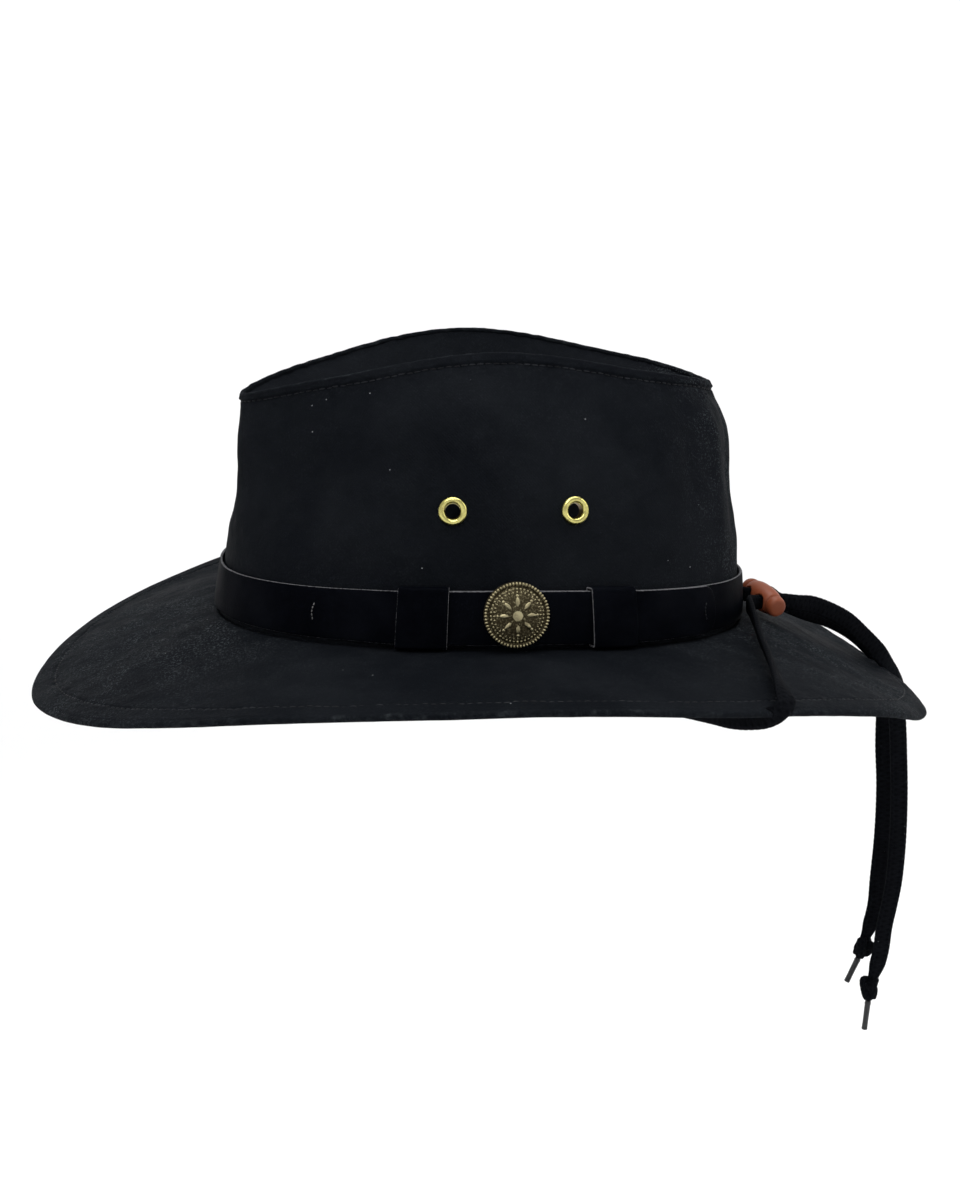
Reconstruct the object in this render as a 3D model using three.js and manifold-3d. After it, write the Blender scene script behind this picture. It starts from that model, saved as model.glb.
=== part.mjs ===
// Oilskin hat: a waxed-cotton hat with a dented crown, a snapped brim, a leather band with a round
// ornament, four eyelets and a chin cord that is put away over the back of the brim.
// Millimetres and degrees. +Z is up, -X is the front, -Y is the wearer's left. The origin is the
// middle of the head opening, level with the foot of the crown at the sides.

import * as THREE from 'three';
import { mergeVertices } from 'three/addons/utils/BufferGeometryUtils.js';
import Module from 'manifold-3d';

const wasm = await Module();
wasm.setup();

// Driving dimensions
const STATIONS = 64;          // steps round the hat
const GAP = 0.3;              // clearance between touching pieces
const CLOTH = 2.0;            // crown wall
const BRIM_THICK = 2.4;

// Crown: reach to the front and back and half width, at six equal steps up its wall
const CROWN_LEVELS = [
  { front: 104.0, back: 105.5, half: 84.0 },
  { front: 101.0, back: 105.0, half: 82.0 },
  { front: 98.0, back: 104.0, half: 79.0 },
  { front: 96.5, back: 102.0, half: 75.0 },
  { front: 96.0, back: 99.5, half: 65.5 },
  { front: 92.5, back: 91.5, half: 46.0 },
];
const FOOT_ROUNDNESS = 2.15;  // exponent of the oval at the foot of the crown
const RIM_ROUNDNESS = 1.95;   // and at its rim
const DENT_FLOOR = 76.0;      // height of the bottom of the long dent in the top
const DENT_POWER = 2.6;       // how steeply the dent's sides rise to the rim
const PINCH = { at: 142, level: 0.72, depth: 8, wide: 20, tall: 0.28 };

// Heights at five angles from the back (0) to the front (180), the same on both sides
const FOOT_HEIGHT = { back: -8.4, backQuarter: -5.4, side: -0.4, frontQuarter: -0.4, front: -1.0 };
const RIM_HEIGHT = { back: 88.0, backQuarter: 95.0, side: 104.0, frontQuarter: 95.0, front: 85.0 };
const EDGE_HEIGHT = { back: -45.5, backQuarter: -21.5, side: -2.4, frontQuarter: -15.8, front: -30.5 };

// Brim: reach of its edge
const EDGE = { front: 179.5, back: 183, half: 158, roundness: 2.02 };
const BRIM_SWEEP = 1.25;      // how late the brim turns down
const BRIM_STEPS = [0, 0.12, 0.3, 0.5, 0.7, 0.88, 1];

// Leather band: one strip, once round and lapped over itself on the wearer's left
const STRAP = { height: 20, thick: 1.5, foot: 2.0, start: 252, tail: 319.5, corner: 6, step: 5.625 };
const SEAT = 0.5;             // clearance of leather and metal on the curved crown
const KEEPER = { thick: 1.2, loops: { keeper_front: [248.8, 258.8], keeper_back: [285, 294.5] } };
const TAIL_DEGREE = 1.6;      // millimetres that one degree spans at the tail
const LIFT_RAMP = 9;          // degrees over which the strip lifts to pass through the keepers
const LIFT_MARGIN = 2.5;      // and how far past a keeper it stays lifted
const LAP_RAMP = 12;          // degrees over which it climbs on to its own first turn

// Ornament on the band
const BUTTON = { at: 270.8, height: 12.4, radius: 11.5, rim: 1.4, dome: 3.0, reeds: 30, petals: 8 };
const RELIEF = {
  lip: { from: 0.9, rise: 0.5 },
  beads: { ring: 0.78, wide: 0.06, rise: 0.45 },
  flower: { reach: 0.62, rise: 0.55 },
  heart: { reach: 0.12, rise: 0.5 },
};

// Eyelets
const EYELET = { flange: 5.4, hole: 2.8, barrel: 3.5, curl: 1.1, sides: 14 };
const EYELET_PLACES = [
  { name: 'eyelet_near_front', at: 258.7 },
  { name: 'eyelet_near_back', at: 283.1 },
  { name: 'eyelet_far_front', at: 101.3 },
  { name: 'eyelet_far_back', at: 76.9 },
];
const EYELET_LEVEL = 0.485;     // how far up the crown's wall they sit

// Wooden slide behind the crown, with a hole across it for each strand
const SLIDE = { middle: [119.5, -8, -4], toFar: [-6, 24, 4], length: 25, pitch: 4.4, hole: 3.5, sides: 14 };
const CORD = { width: 6.0, thick: 2.8, stepsPerRow: 1.25 };

// Finish of each kind of piece
const finish = (color, roughness, metalness = 0) =>
  new THREE.MeshStandardMaterial({ color, roughness, metalness, flatShading: true });
const WAXED_COTTON = finish(0x24262a, 0.7);
const LEATHER = finish(0x141519, 0.45);
const OLD_BRASS = finish(0x8a7d52, 0.4, 0.9);
const BRASS = finish(0xc9ba72, 0.3, 1.0);
const WOOD = finish(0x9a5f4c, 0.5);
const BRAID = finish(0x15161a, 0.85);
const TIP_SHEATH = finish(0x2b2c30, 0.4);

const radians = THREE.MathUtils.degToRad;
const vec = (p) => new THREE.Vector3(...p);
const range = (count) => Array.from({ length: count }, (_, i) => i);

// Smooth curve through equally spaced values, at place t counted in steps
function through(values, t, closed) {
  const count = values.length;
  const wrapped = (i) => values[((i % count) + count) % count];
  const held = (i) => values[Math.min(Math.max(i, 0), count - 1)];
  const at = closed ? wrapped : held;
  const i = closed ? Math.floor(t) : Math.min(Math.floor(t), count - 2);
  const f = t - i;
  const [a, b, c, d] = [at(i - 1), at(i), at(i + 1), at(i + 2)];
  const [square, cube] = [2 * a - 5 * b + 4 * c - d, 3 * b - a - 3 * c + d];
  return 0.5 * (2 * b + (c - a) * f + square * f ** 2 + cube * f ** 3);
}

// Height from one of the tables above at an angle round the hat
function heightAt(table, angle) {
  const { back, backQuarter, side, frontQuarter, front } = table;
  const round = [back, backQuarter, side, frontQuarter, front, frontQuarter, side, backQuarter];
  return through(round, angle / 45, true);
}

// Point of an oval with a different reach to the front and to the back
function oval(angle, { front, back, half, roundness }) {
  const c = Math.cos(radians(angle));
  const s = Math.sin(radians(angle));
  const x = Math.sign(c) * Math.abs(c) ** (2 / roundness);
  const y = Math.sign(s) * Math.abs(s) ** (2 / roundness);
  return { x: x < 0 ? front * x : back * x, y: half * y };
}

// Outer face of the crown: level runs from 0 at the foot to 1 at the rim
function crown(angle, level) {
  const step = level * (CROWN_LEVELS.length - 1);
  const reach = (key) => through(CROWN_LEVELS.map((row) => row[key]), Math.max(step, 0), false);
  const roundness = FOOT_ROUNDNESS + (RIM_ROUNDNESS - FOOT_ROUNDNESS) * level;
  const p = oval(angle, { front: reach('front'), back: reach('back'), half: reach('half'), roundness });
  const z = heightAt(FOOT_HEIGHT, angle) * (1 - level) + heightAt(RIM_HEIGHT, angle) * level;
  const turn = ((angle % 360) + 360) % 360;
  const radius = Math.hypot(p.x, p.y);
  const high = ((level - PINCH.level) / PINCH.tall) ** 2;
  const pinch = (at) => PINCH.depth * Math.exp(-(((turn - at) / PINCH.wide) ** 2) - high);
  const dent = pinch(PINCH.at) + pinch(360 - PINCH.at);
  return new THREE.Vector3(p.x * (1 - dent / radius), p.y * (1 - dent / radius), z);
}

// Outward direction of the crown's face
function crownNormal(angle, level) {
  const side = crown(angle + 0.5, level).sub(crown(angle - 0.5, level));
  const up = crown(angle, Math.min(level + 0.01, 1)).sub(crown(angle, Math.min(level + 0.01, 1) - 0.02));
  return side.cross(up).normalize();
}

const offCrown = (angle, level, away) => crown(angle, level).addScaledVector(crownNormal(angle, level), away);

// Level of the crown's wall at a height above its foot
const levelAt = (angle, height) => height / (heightAt(RIM_HEIGHT, angle) - heightAt(FOOT_HEIGHT, angle));

// Upper face of the brim: out runs from 0 at the crown to 1 at the edge
function brimTop(angle, out, inset) {
  const foot = crown(angle, 0);
  const edge = oval(angle, EDGE);
  const grow = 1 + inset / Math.hypot(foot.x, foot.y);
  const drop = out ** BRIM_SWEEP;
  return new THREE.Vector3(
    foot.x * grow * (1 - out) + edge.x * out,
    foot.y * grow * (1 - out) + edge.y * out,
    heightAt(FOOT_HEIGHT, angle) * (1 - drop) + heightAt(EDGE_HEIGHT, angle) * drop);
}

// Closed body from rings of points; with shut, the last ring joins the first, else each end is closed
// by a fan round its middle
function body(rings, shut) {
  const width = rings[0].length;
  const points = rings.flat();
  const faces = [];
  const last = shut ? rings.length : rings.length - 1;
  for (let r = 0; r < last; r += 1) {
    for (let i = 0; i < width; i += 1) {
      const j = (i + 1) % width;
      const next = ((r + 1) % rings.length) * width;
      faces.push([r * width + i, r * width + j, next + j], [r * width + i, next + j, next + i]);
    }
  }
  if (!shut) {
    [0, rings.length - 1].forEach((r) => {
      const ring = rings[r];
      const middle = ring.reduce((sum, p) => sum.add(p), new THREE.Vector3()).divideScalar(width);
      points.push(middle);
      for (let i = 0; i < width; i += 1) {
        const j = (i + 1) % width;
        const fan = [points.length - 1, r * width + j, r * width + i];
        faces.push(r === 0 ? fan : fan.reverse());
      }
    });
  }
  return solidOf(points, faces);
}

// Geometry of a closed body, with its faces turned outwards
function solidOf(points, faces) {
  const volume = faces.reduce((sum, [a, b, c]) =>
    sum + points[a].dot(new THREE.Vector3().crossVectors(points[b], points[c])), 0);
  const turned = volume < 0 ? faces.map(([a, b, c]) => [a, c, b]) : faces;
  const geometry = new THREE.BufferGeometry();
  geometry.setAttribute('position', new THREE.Float32BufferAttribute(points.flatMap((p) => p.toArray()), 3));
  geometry.setIndex(turned.flat());
  return geometry;
}

// Boolean work on closed meshes
function manifoldOf(geometry) {
  const bare = geometry.clone();
  bare.deleteAttribute('normal');
  bare.deleteAttribute('uv');
  const merged = mergeVertices(bare, 1e-4);
  return new wasm.Manifold(new wasm.Mesh({
    numProp: 3,
    vertProperties: new Float32Array(merged.attributes.position.array),
    triVerts: new Uint32Array(merged.index.array),
  }));
}

function geometryOf(manifold) {
  const mesh = manifold.getMesh();
  const geometry = new THREE.BufferGeometry();
  geometry.setAttribute('position', new THREE.Float32BufferAttribute(mesh.vertProperties, 3));
  geometry.setIndex(Array.from(mesh.triVerts));
  return geometry;
}

// Matrix that puts a shape's own Y axis along a direction, with its X axis along across
function frameAt(place, along, across) {
  const y = along.clone().normalize();
  const x = across.clone().addScaledVector(y, -across.dot(y)).normalize();
  const z = new THREE.Vector3().crossVectors(x, y);
  return new THREE.Matrix4().makeBasis(x, y, z).setPosition(place);
}

const turns = range(STATIONS).map((i) => (i * 360) / STATIONS);

// Crown wall, with a punched hole for each eyelet
function crownSide() {
  const foot = -0.03;
  const outer = range(11).map((i) => foot + ((1 - foot) * i) / 10);
  const inner = range(7).map((i) => 1 - ((1 - foot) * i) / 6);
  const ring = (level, away) => turns.map((angle) => offCrown(angle, level, away));
  const wall = body([...outer.map((l) => ring(l, 0)), ...inner.map((l) => ring(l, -CLOTH))], true);
  const cut = EYELET_PLACES.reduce((solid, place) => {
    const punch = new THREE.CylinderGeometry(EYELET.barrel + GAP, EYELET.barrel + GAP, 12, EYELET.sides);
    punch.applyMatrix4(eyeletFrame(place.at));
    return solid.subtract(manifoldOf(punch));
  }, manifoldOf(wall));
  return geometryOf(cut);
}

// Sunken panel inside the rim
function crownTip() {
  const inset = CLOTH + SEAT;
  const ring = (share, drop) => turns.map((angle) => {
    const rim = crown(angle, 1);
    const inward = crownNormal(angle, 1).setZ(0).normalize().negate();
    const seam = rim.clone().addScaledVector(inward, inset).multiplyScalar(share);
    const rise = share ** DENT_POWER;
    return seam.setZ(DENT_FLOOR * (1 - rise) + rim.z * rise - drop);
  });
  const upper = [0.12, 0.35, 0.55, 0.72, 0.86, 0.94, 1];
  const lower = [1, 0.86, 0.6, 0.2];
  return body([...upper.map((s) => ring(s, 0.3)), ...lower.map((s) => ring(s, 0.3 + CLOTH))], false);
}

// Brim, from the foot of the crown to its rounded edge
function brim() {
  const seat = GAP + 0.1;
  const ring = (out, drop) => turns.map((angle) => {
    const p = brimTop(angle, out, seat);
    p.z -= drop;
    return p;
  });
  const edge = turns.map((angle) => {
    const p = brimTop(angle, 1, seat);
    const grow = 1 + 1.0 / Math.hypot(p.x, p.y);
    return new THREE.Vector3(p.x * grow, p.y * grow, p.z - BRIM_THICK / 2);
  });
  const upper = BRIM_STEPS.map((s) => ring(s, 0));
  const lower = [1, 0.7, 0.35, 0].map((s) => ring(s, BRIM_THICK));
  return body([...upper, edge, ...lower], true);
}

const smooth = (t) => {
  const s = Math.min(Math.max(t, 0), 1);
  return s * s * (3 - 2 * s);
};

// How far the strip stands off the crown: it lifts between the keepers and climbs on to its first turn
function strapStand(angle) {
  const turn = angle % 360;
  const [first] = KEEPER.loops.keeper_front;
  const last = KEEPER.loops.keeper_back[1];
  const [before, after] = [turn - first + LIFT_MARGIN, last + LIFT_MARGIN - turn];
  const rise = smooth(1 + before / LIFT_RAMP) * smooth(1 + after / LIFT_RAMP);
  const lap = smooth((angle - (STRAP.start + 360 - LAP_RAMP)) / (LAP_RAMP - 1));
  return SEAT + rise * (KEEPER.thick + GAP) + lap * (STRAP.thick + GAP);
}

// Section of the strip at an angle, its ends rounded where it is the loose tail
function strapSection(angle) {
  const end = STRAP.tail + 360;
  const toEnd = (end - angle) * TAIL_DEGREE;
  const near = Math.max(STRAP.corner - toEnd, 0);
  const shy = STRAP.corner - Math.sqrt(Math.max(STRAP.corner ** 2 - near ** 2, 0));
  const stand = strapStand(angle);
  const at = (height, away) => offCrown(angle, levelAt(angle, STRAP.foot + height), stand + away);
  const low = Math.min(shy, STRAP.height / 2 - 3);
  const high = STRAP.height - low;
  return [at(low, 0), at(low, STRAP.thick), at(high, STRAP.thick), at(high, 0)];
}

function hatBand() {
  const end = STRAP.tail + 360;
  const count = Math.floor((end - STRAP.start) / STRAP.step);
  const run = range(count).map((i) => STRAP.start + i * STRAP.step);
  const tail = [5.2, 3.6, 1.8, 0.6, 0].map((back) => end - back / TAIL_DEGREE);
  const stops = [...run.filter((angle) => angle < tail[0] - 1), ...tail];
  return body(stops.map(strapSection), false);
}

// Loop that goes round both layers of the strip and behind them
function keeper([from, to]) {
  const steps = 4;
  const stop = range(steps).map((i) => from + ((to - from) * i) / (steps - 1));
  const loop = (angle, grow) => {
    const inside = SEAT + KEEPER.thick - grow;
    const outside = inside + 2 * STRAP.thick + 3 * GAP + 2 * grow;
    const low = STRAP.foot - GAP - grow;
    const high = STRAP.foot + STRAP.height + GAP + grow;
    const corner = 0.15 + grow * 0.7;
    const at = (height, away) => offCrown(angle, levelAt(angle, height), away);
    return [
      at(low + corner, inside), at(low, inside + corner),
      at(low, outside - corner), at(low + corner, outside),
      at(high - corner, outside), at(high, outside - corner),
      at(high, inside + corner), at(high - corner, inside),
    ];
  };
  const outer = stop.map((angle) => loop(angle, KEEPER.thick));
  const inner = [...stop].reverse().map((angle) => loop(angle, 0));
  return body([...outer, ...inner], true);
}

// Round ornament: a reeded rim, a ring of beads and an eight-petalled flower on a low dome
function buttonHeight(share, angle) {
  const { lip, beads, flower, heart } = RELIEF;
  const dome = BUTTON.dome * (1 - share ** 2 * 0.75);
  const raised = share > lip.from ? lip.rise : 0;
  const bead = 0.5 + 0.5 * Math.cos(radians(angle * BUTTON.reeds));
  const string = Math.exp(-(((share - beads.ring) / beads.wide) ** 2)) * beads.rise * bead;
  const petal = Math.abs(Math.cos(radians((angle * BUTTON.petals) / 2)));
  const bloom = share < flower.reach ? flower.rise * petal * Math.sin((Math.PI * share) / flower.reach) : 0;
  const middle = share < heart.reach ? heart.rise : 0;
  return BUTTON.rim + dome + raised + string + bloom + middle;
}

function button() {
  const sides = BUTTON.reeds * 2;
  const shares = [0.06, 0.13, 0.3, 0.46, 0.6, 0.7, 0.78, 0.86, 0.93];
  const round = (angle, share, height) => {
    const radius = BUTTON.radius * share;
    return new THREE.Vector3(radius * Math.cos(radians(angle)), height, radius * Math.sin(radians(angle)));
  };
  const angles = range(sides).map((i) => (i * 360) / sides);
  const ring = (share, height) => angles.map((angle) => round(angle, share, height(angle)));
  const reeded = (height) => angles.map((angle, i) => round(angle, i % 2 ? 0.975 : 1, height));
  const back = ring(0.5, () => 0);
  const front = shares.map((share) => ring(share, (angle) => buttonHeight(share, angle))).reverse();
  const geometry = body([back, reeded(0), reeded(BUTTON.rim), ...front], false);
  const level = levelAt(BUTTON.at, BUTTON.height);
  const seat = strapStand(BUTTON.at + 360) + STRAP.thick + GAP;
  const out = crownNormal(BUTTON.at, level);
  return geometry.applyMatrix4(frameAt(offCrown(BUTTON.at, level, seat), out, new THREE.Vector3(1, 0, 0)));
}

const eyeletFrame = (angle) =>
  frameAt(crown(angle, EYELET_LEVEL), crownNormal(angle, EYELET_LEVEL), new THREE.Vector3(0, 0, 1));

// Rolled metal ring through the crown's wall
function eyelet(angle) {
  const { flange, hole, barrel, curl, sides } = EYELET;
  const outside = SEAT;
  const inside = -CLOTH - SEAT;
  const profile = [
    [barrel, outside], [flange - 0.4, outside], [flange, outside + curl * 0.4],
    [(flange + hole) / 2, outside + curl], [hole + 0.3, outside + curl * 0.5],
    [hole, outside - 0.2], [hole, inside - 0.6], [hole + 1.2, inside - 0.9],
    [flange - 1.1, inside - 0.3], [flange - 1.1, inside], [barrel, inside], [barrel, outside],
  ].map(([x, y]) => new THREE.Vector2(x, y));
  const ring = mergeVertices(stripped(new THREE.LatheGeometry(profile, sides)), 1e-4);
  return ring.applyMatrix4(eyeletFrame(angle));
}

function stripped(geometry) {
  geometry.deleteAttribute('normal');
  geometry.deleteAttribute('uv');
  return geometry;
}

// Turned wooden barrel with a grooved head at each end and two holes across it
const slideAxis = vec(SLIDE.toFar).normalize();
const slideMiddle = vec(SLIDE.middle);
const holeWay = vec([1, 0.24, 0]).projectOnPlane(slideAxis).normalize();
const SLIDE_PROFILE = [
  { along: 12.5, radius: 3.0 }, { along: 12.1, radius: 3.6 }, { along: 10.4, radius: 4.2 },
  { along: 9.4, radius: 4.3 }, { along: 8.7, radius: 3.7 }, { along: 8.0, radius: 4.5 },
  { along: 4.6, radius: 5.3 }, { along: 0, radius: 5.5 },
];

function slide() {
  const half = SLIDE_PROFILE.map(({ along, radius }) => new THREE.Vector2(radius, along));
  const mirror = half.slice(0, -1).map((p) => new THREE.Vector2(p.x, -p.y)).reverse();
  const end = SLIDE.length / 2;
  const profile = [new THREE.Vector2(0, end), ...half, ...mirror, new THREE.Vector2(0, -end)].reverse();
  const barrel = new THREE.LatheGeometry(profile, SLIDE.sides);
  barrel.applyMatrix4(frameAt(slideMiddle, slideAxis, holeWay));
  const drilled = [-1, 1].reduce((solid, side) => {
    const drill = new THREE.CylinderGeometry(SLIDE.hole, SLIDE.hole, 20, 12);
    const place = slideMiddle.clone().addScaledVector(slideAxis, side * SLIDE.pitch);
    drill.applyMatrix4(frameAt(place, holeWay, slideAxis));
    return solid.subtract(manifoldOf(drill));
  }, manifoldOf(barrel));
  return geometryOf(drilled);
}

// Flat braid along a list of points, each with the direction that its width takes there
class Braid extends THREE.CatmullRomCurve3 {
  constructor(rows) {
    super(rows.map((row) => vec(row.at)), false, 'centripetal');
    this.flats = rows.map((row) => vec(row.flat).normalize());
  }

  getSpacedPoints(divisions) {
    return this.getPoints(divisions);
  }

  computeFrenetFrames(segments) {
    const frames = { tangents: [], normals: [], binormals: [] };
    for (let i = 0; i <= segments; i += 1) {
      const t = i / segments;
      const place = t * (this.flats.length - 1);
      const from = Math.min(Math.floor(place), this.flats.length - 2);
      const tangent = this.getTangent(t);
      const flat = this.flats[from].clone().lerp(this.flats[from + 1], place - from);
      flat.addScaledVector(tangent, -flat.dot(tangent)).normalize();
      frames.tangents.push(tangent);
      frames.normals.push(flat);
      frames.binormals.push(new THREE.Vector3().crossVectors(tangent, flat));
    }
    return frames;
  }
}

const holePoint = (side, along) => slideMiddle.clone()
  .addScaledVector(slideAxis, side * SLIDE.pitch).addScaledVector(holeWay, along).toArray();

// From the sewn end inside the crown, under the brim, round its edge and back over it; for the left
// side, and mirrored for the right
const TO_THE_SLIDE = [
  { at: [4, -78.0, 16], flat: [1, 0, 0] },
  { at: [5, -78.8, 6], flat: [1, 0, 0] },
  { at: [7, -79.2, -4], flat: [1, 0.1, 0] },
  { at: [13, -82.5, -11.5], flat: [1, -0.5, 0] },
  { at: [28, -89.5, -16.8], flat: [0.4, -1, 0] },
  { at: [44, -97.5, -19.4], flat: [0.5, -1, 0] },
  { at: [58, -108, -20.4], flat: [0.6, -0.8, 0] },
  { at: [69, -120, -20.2], flat: [0.7, -0.6, 0] },
  { at: [77.5, -132, -19], flat: [0.85, -0.5, 0] },
  { at: [83, -140.5, -17.6], flat: [0.95, -0.35, 0] },
  { at: [86.4, -146.4, -15.2], flat: [0.97, 0.1, 0] },
  { at: [87.6, -147.6, -11.6], flat: [0.97, 0.25, 0] },
  { at: [87.6, -144.6, -8.8], flat: [0.97, 0.25, 0] },
  { at: [88.2, -138, -7.6], flat: [0.98, 0.15, 0] },
  { at: [89.8, -126, -6.7], flat: [0.98, 0.1, 0] },
  { at: [93, -108, -5.9], flat: [0.98, 0.1, 0] },
  { at: [97.2, -88, -4.9], flat: [0.98, 0.1, 0] },
  { at: [102.4, -62, -4.3], flat: [0.98, 0.1, 0.1] },
];
const LAST_OVER_BRIM_LEFT = [
  { at: [107.6, -42, -3.4], flat: [0.7, 0, 0.75] },
  { at: [109.8, -28, -3.5], flat: [0.3, 0, 1] },
  { at: [111.4, -19.5, -4.1], flat: [0, 0, 1] },
];
const LAST_OVER_BRIM_RIGHT = [
  { at: [107.8, 42, -3.8], flat: [0.6, 0, 0.8] },
  { at: [109.6, 24, -3.2], flat: [0.1, 0, 1] },
  { at: [109.7, 10, -3], flat: [0, 0, 1] },
  { at: [109.9, 2.4, -3.1], flat: [0, 0, 1] },
  { at: [111.6, -2.6, -3.2], flat: [0, 0, 1] },
];
const flipped = ([x, y, z]) => [x, -y, z];
const mirrored = (rows) => rows.map(({ at, flat }) => ({ at: flipped(at), flat: flipped(flat) }));
const throughSlide = (side) => [-5, 0, 6].map((along) => ({ at: holePoint(side, along), flat: [0, 0, 1] }));

// From the slide in a high arch over the back of the brim and down to the knot
const LOOSE_LEFT = [
  { at: [133.5, -9.6, -6.6], flat: [0.15, 0, 1] },
  { at: [141, -7, -9.4], flat: [0.35, 0, 1] },
  { at: [149, -4, -13.2], flat: [0.45, 0, 1] },
  { at: [157, -1, -18], flat: [0.6, 0, 1] },
  { at: [165.5, 2.4, -24.2], flat: [0.75, 0.1, 1] },
  { at: [174, 5.4, -31.6], flat: [0.8, 0.4, 0.8] },
  { at: [182, 7.6, -38], flat: [0.6, 0.8, 0.5] },
  { at: [186.8, 8.8, -46.8], flat: [0.35, 1, 0.1] },
  { at: [187.2, 9, -57], flat: [0.8, 0.6, 0] },
  { at: [186.4, 9, -74], flat: [1, 0.2, 0] },
  { at: [187.8, 9, -96], flat: [1, 0, 0] },
  { at: [189, 9, -118], flat: [1, 0, 0] },
  { at: [187.8, 9, -138], flat: [1, 0, -0.1] },
  { at: [184.6, 9, -160], flat: [1, 0, -0.2] },
  { at: [180, 9, -181.8], flat: [1, 0, -0.2] },
];
const LOOSE_RIGHT = [
  { at: [131, 0.4, -6.2], flat: [0.15, 0, 1] },
  { at: [139, 4, -9], flat: [0.35, 0, 1] },
  { at: [147.5, 8, -12.8], flat: [0.45, 0, 1] },
  { at: [156, 12, -17.6], flat: [0.6, 0, 1] },
  { at: [165, 15.6, -24], flat: [0.75, 0.1, 1] },
  { at: [174, 18.4, -31.8], flat: [0.8, 0.4, 0.8] },
  { at: [181.4, 20, -38], flat: [0.6, 0.8, 0.5] },
  { at: [186, 21, -46.8], flat: [0.35, 1, 0.1] },
  { at: [185.6, 21, -57.5], flat: [0.8, 0.6, 0] },
  { at: [183, 20.8, -76], flat: [1, 0.2, 0] },
  { at: [183.6, 20.4, -100], flat: [1, 0, 0] },
  { at: [183.4, 20.2, -122], flat: [1, 0, 0] },
  { at: [182, 20, -142], flat: [1, 0, -0.1] },
  { at: [179.8, 20, -165.4], flat: [1, 0, -0.1] },
];

const ROUTES = {
  cord_near: [...TO_THE_SLIDE, ...LAST_OVER_BRIM_LEFT, ...throughSlide(-1), ...LOOSE_LEFT],
  cord_far: [...mirrored(TO_THE_SLIDE), ...LAST_OVER_BRIM_RIGHT, ...throughSlide(1), ...LOOSE_RIGHT],
};

function cord(rows) {
  const section = new THREE.Shape();
  range(8).forEach((i) => {
    const angle = radians(22.5 + i * 45);
    const x = (Math.cos(angle) / Math.cos(radians(22.5))) * (CORD.width / 2);
    const y = (Math.sin(angle) / Math.cos(radians(22.5))) * (CORD.thick / 2);
    if (i) section.lineTo(x, y);
    else section.moveTo(x, y);
  });
  const path = new Braid(rows);
  const steps = Math.round(rows.length * CORD.stepsPerRow);
  const tube = new THREE.ExtrudeGeometry(section, { steps, extrudePath: path, bevelEnabled: false });
  return mergeVertices(stripped(tube), 1e-4);
}

// Knots and sheathed tips below the ends of the cords
const ENDS = [
  {
    side: 'near', from: [178.6, 9, -187.5], knot: [8, 10.4],
    tip: [177.9, 9, -194.6], end: [176.6, 9, -208.4],
  },
  {
    side: 'far', from: [179.2, 20, -171], knot: [8.8, 10.2],
    tip: [177.4, 20, -178], end: [171.8, 20, -189.8],
  },
];
const TIP_SIZE = { radius: 1.3, taper: 0.8, sides: 10 };

function knot({ from, knot: [wide, tall], tip }) {
  const ball = new THREE.SphereGeometry(0.5, 14, 8);
  ball.scale(wide, tall, wide * 0.9);
  const along = vec(from).sub(vec(tip));
  const frame = frameAt(vec(from), along, new THREE.Vector3(1, 0, 0));
  return mergeVertices(stripped(ball), 1e-4).applyMatrix4(frame);
}

function tipSheath({ from, knot: [, tall], end }) {
  const along = vec(end).sub(vec(from));
  const start = tall / 2 + GAP;
  const length = along.length() - start;
  const { radius, taper, sides } = TIP_SIZE;
  const rod = new THREE.CylinderGeometry(radius * taper, radius, length, sides);
  rod.translate(0, start + length / 2, 0);
  return rod.applyMatrix4(frameAt(vec(from), along, new THREE.Vector3(0, 1, 0)));
}

// The hat
const hat = new THREE.Group();
const add = (name, geometry, material) => {
  const mesh = new THREE.Mesh(geometry, material);
  mesh.name = name;
  hat.add(mesh);
};

add('crown_side', crownSide(), WAXED_COTTON);
add('crown_tip', crownTip(), WAXED_COTTON);
add('brim', brim(), WAXED_COTTON);
add('hat_band', hatBand(), LEATHER);
Object.entries(KEEPER.loops).forEach(([name, span]) => add(name, keeper(span), LEATHER));
add('button', button(), OLD_BRASS);
EYELET_PLACES.forEach(({ name, at }) => add(name, eyelet(at), BRASS));
add('slide', slide(), WOOD);
Object.entries(ROUTES).forEach(([name, rows]) => add(name, cord(rows), BRAID));
ENDS.forEach((end) => {
  add(`knot_${end.side}`, knot(end), BRAID);
  add(`tip_${end.side}`, tipSheath(end), TIP_SHEATH);
});

export default hat;
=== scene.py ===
"""Oilskin hat: the finished look of a waxed-cotton hat with a leather band and a chin cord.

Every size is in metres and every turn in degrees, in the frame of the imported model: +Z is up, -X is
the hat's front and -Y is the wearer's left. An angle round the hat is 0 at the back, 90 on the
wearer's right, 180 in front and 270 on the wearer's left.
"""

from __future__ import annotations

import logging
import math
from dataclasses import dataclass
from enum import Enum
from typing import Callable, NamedTuple, Sequence, Union

import bpy
import numpy as np
from mathutils import Matrix, Vector

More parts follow.
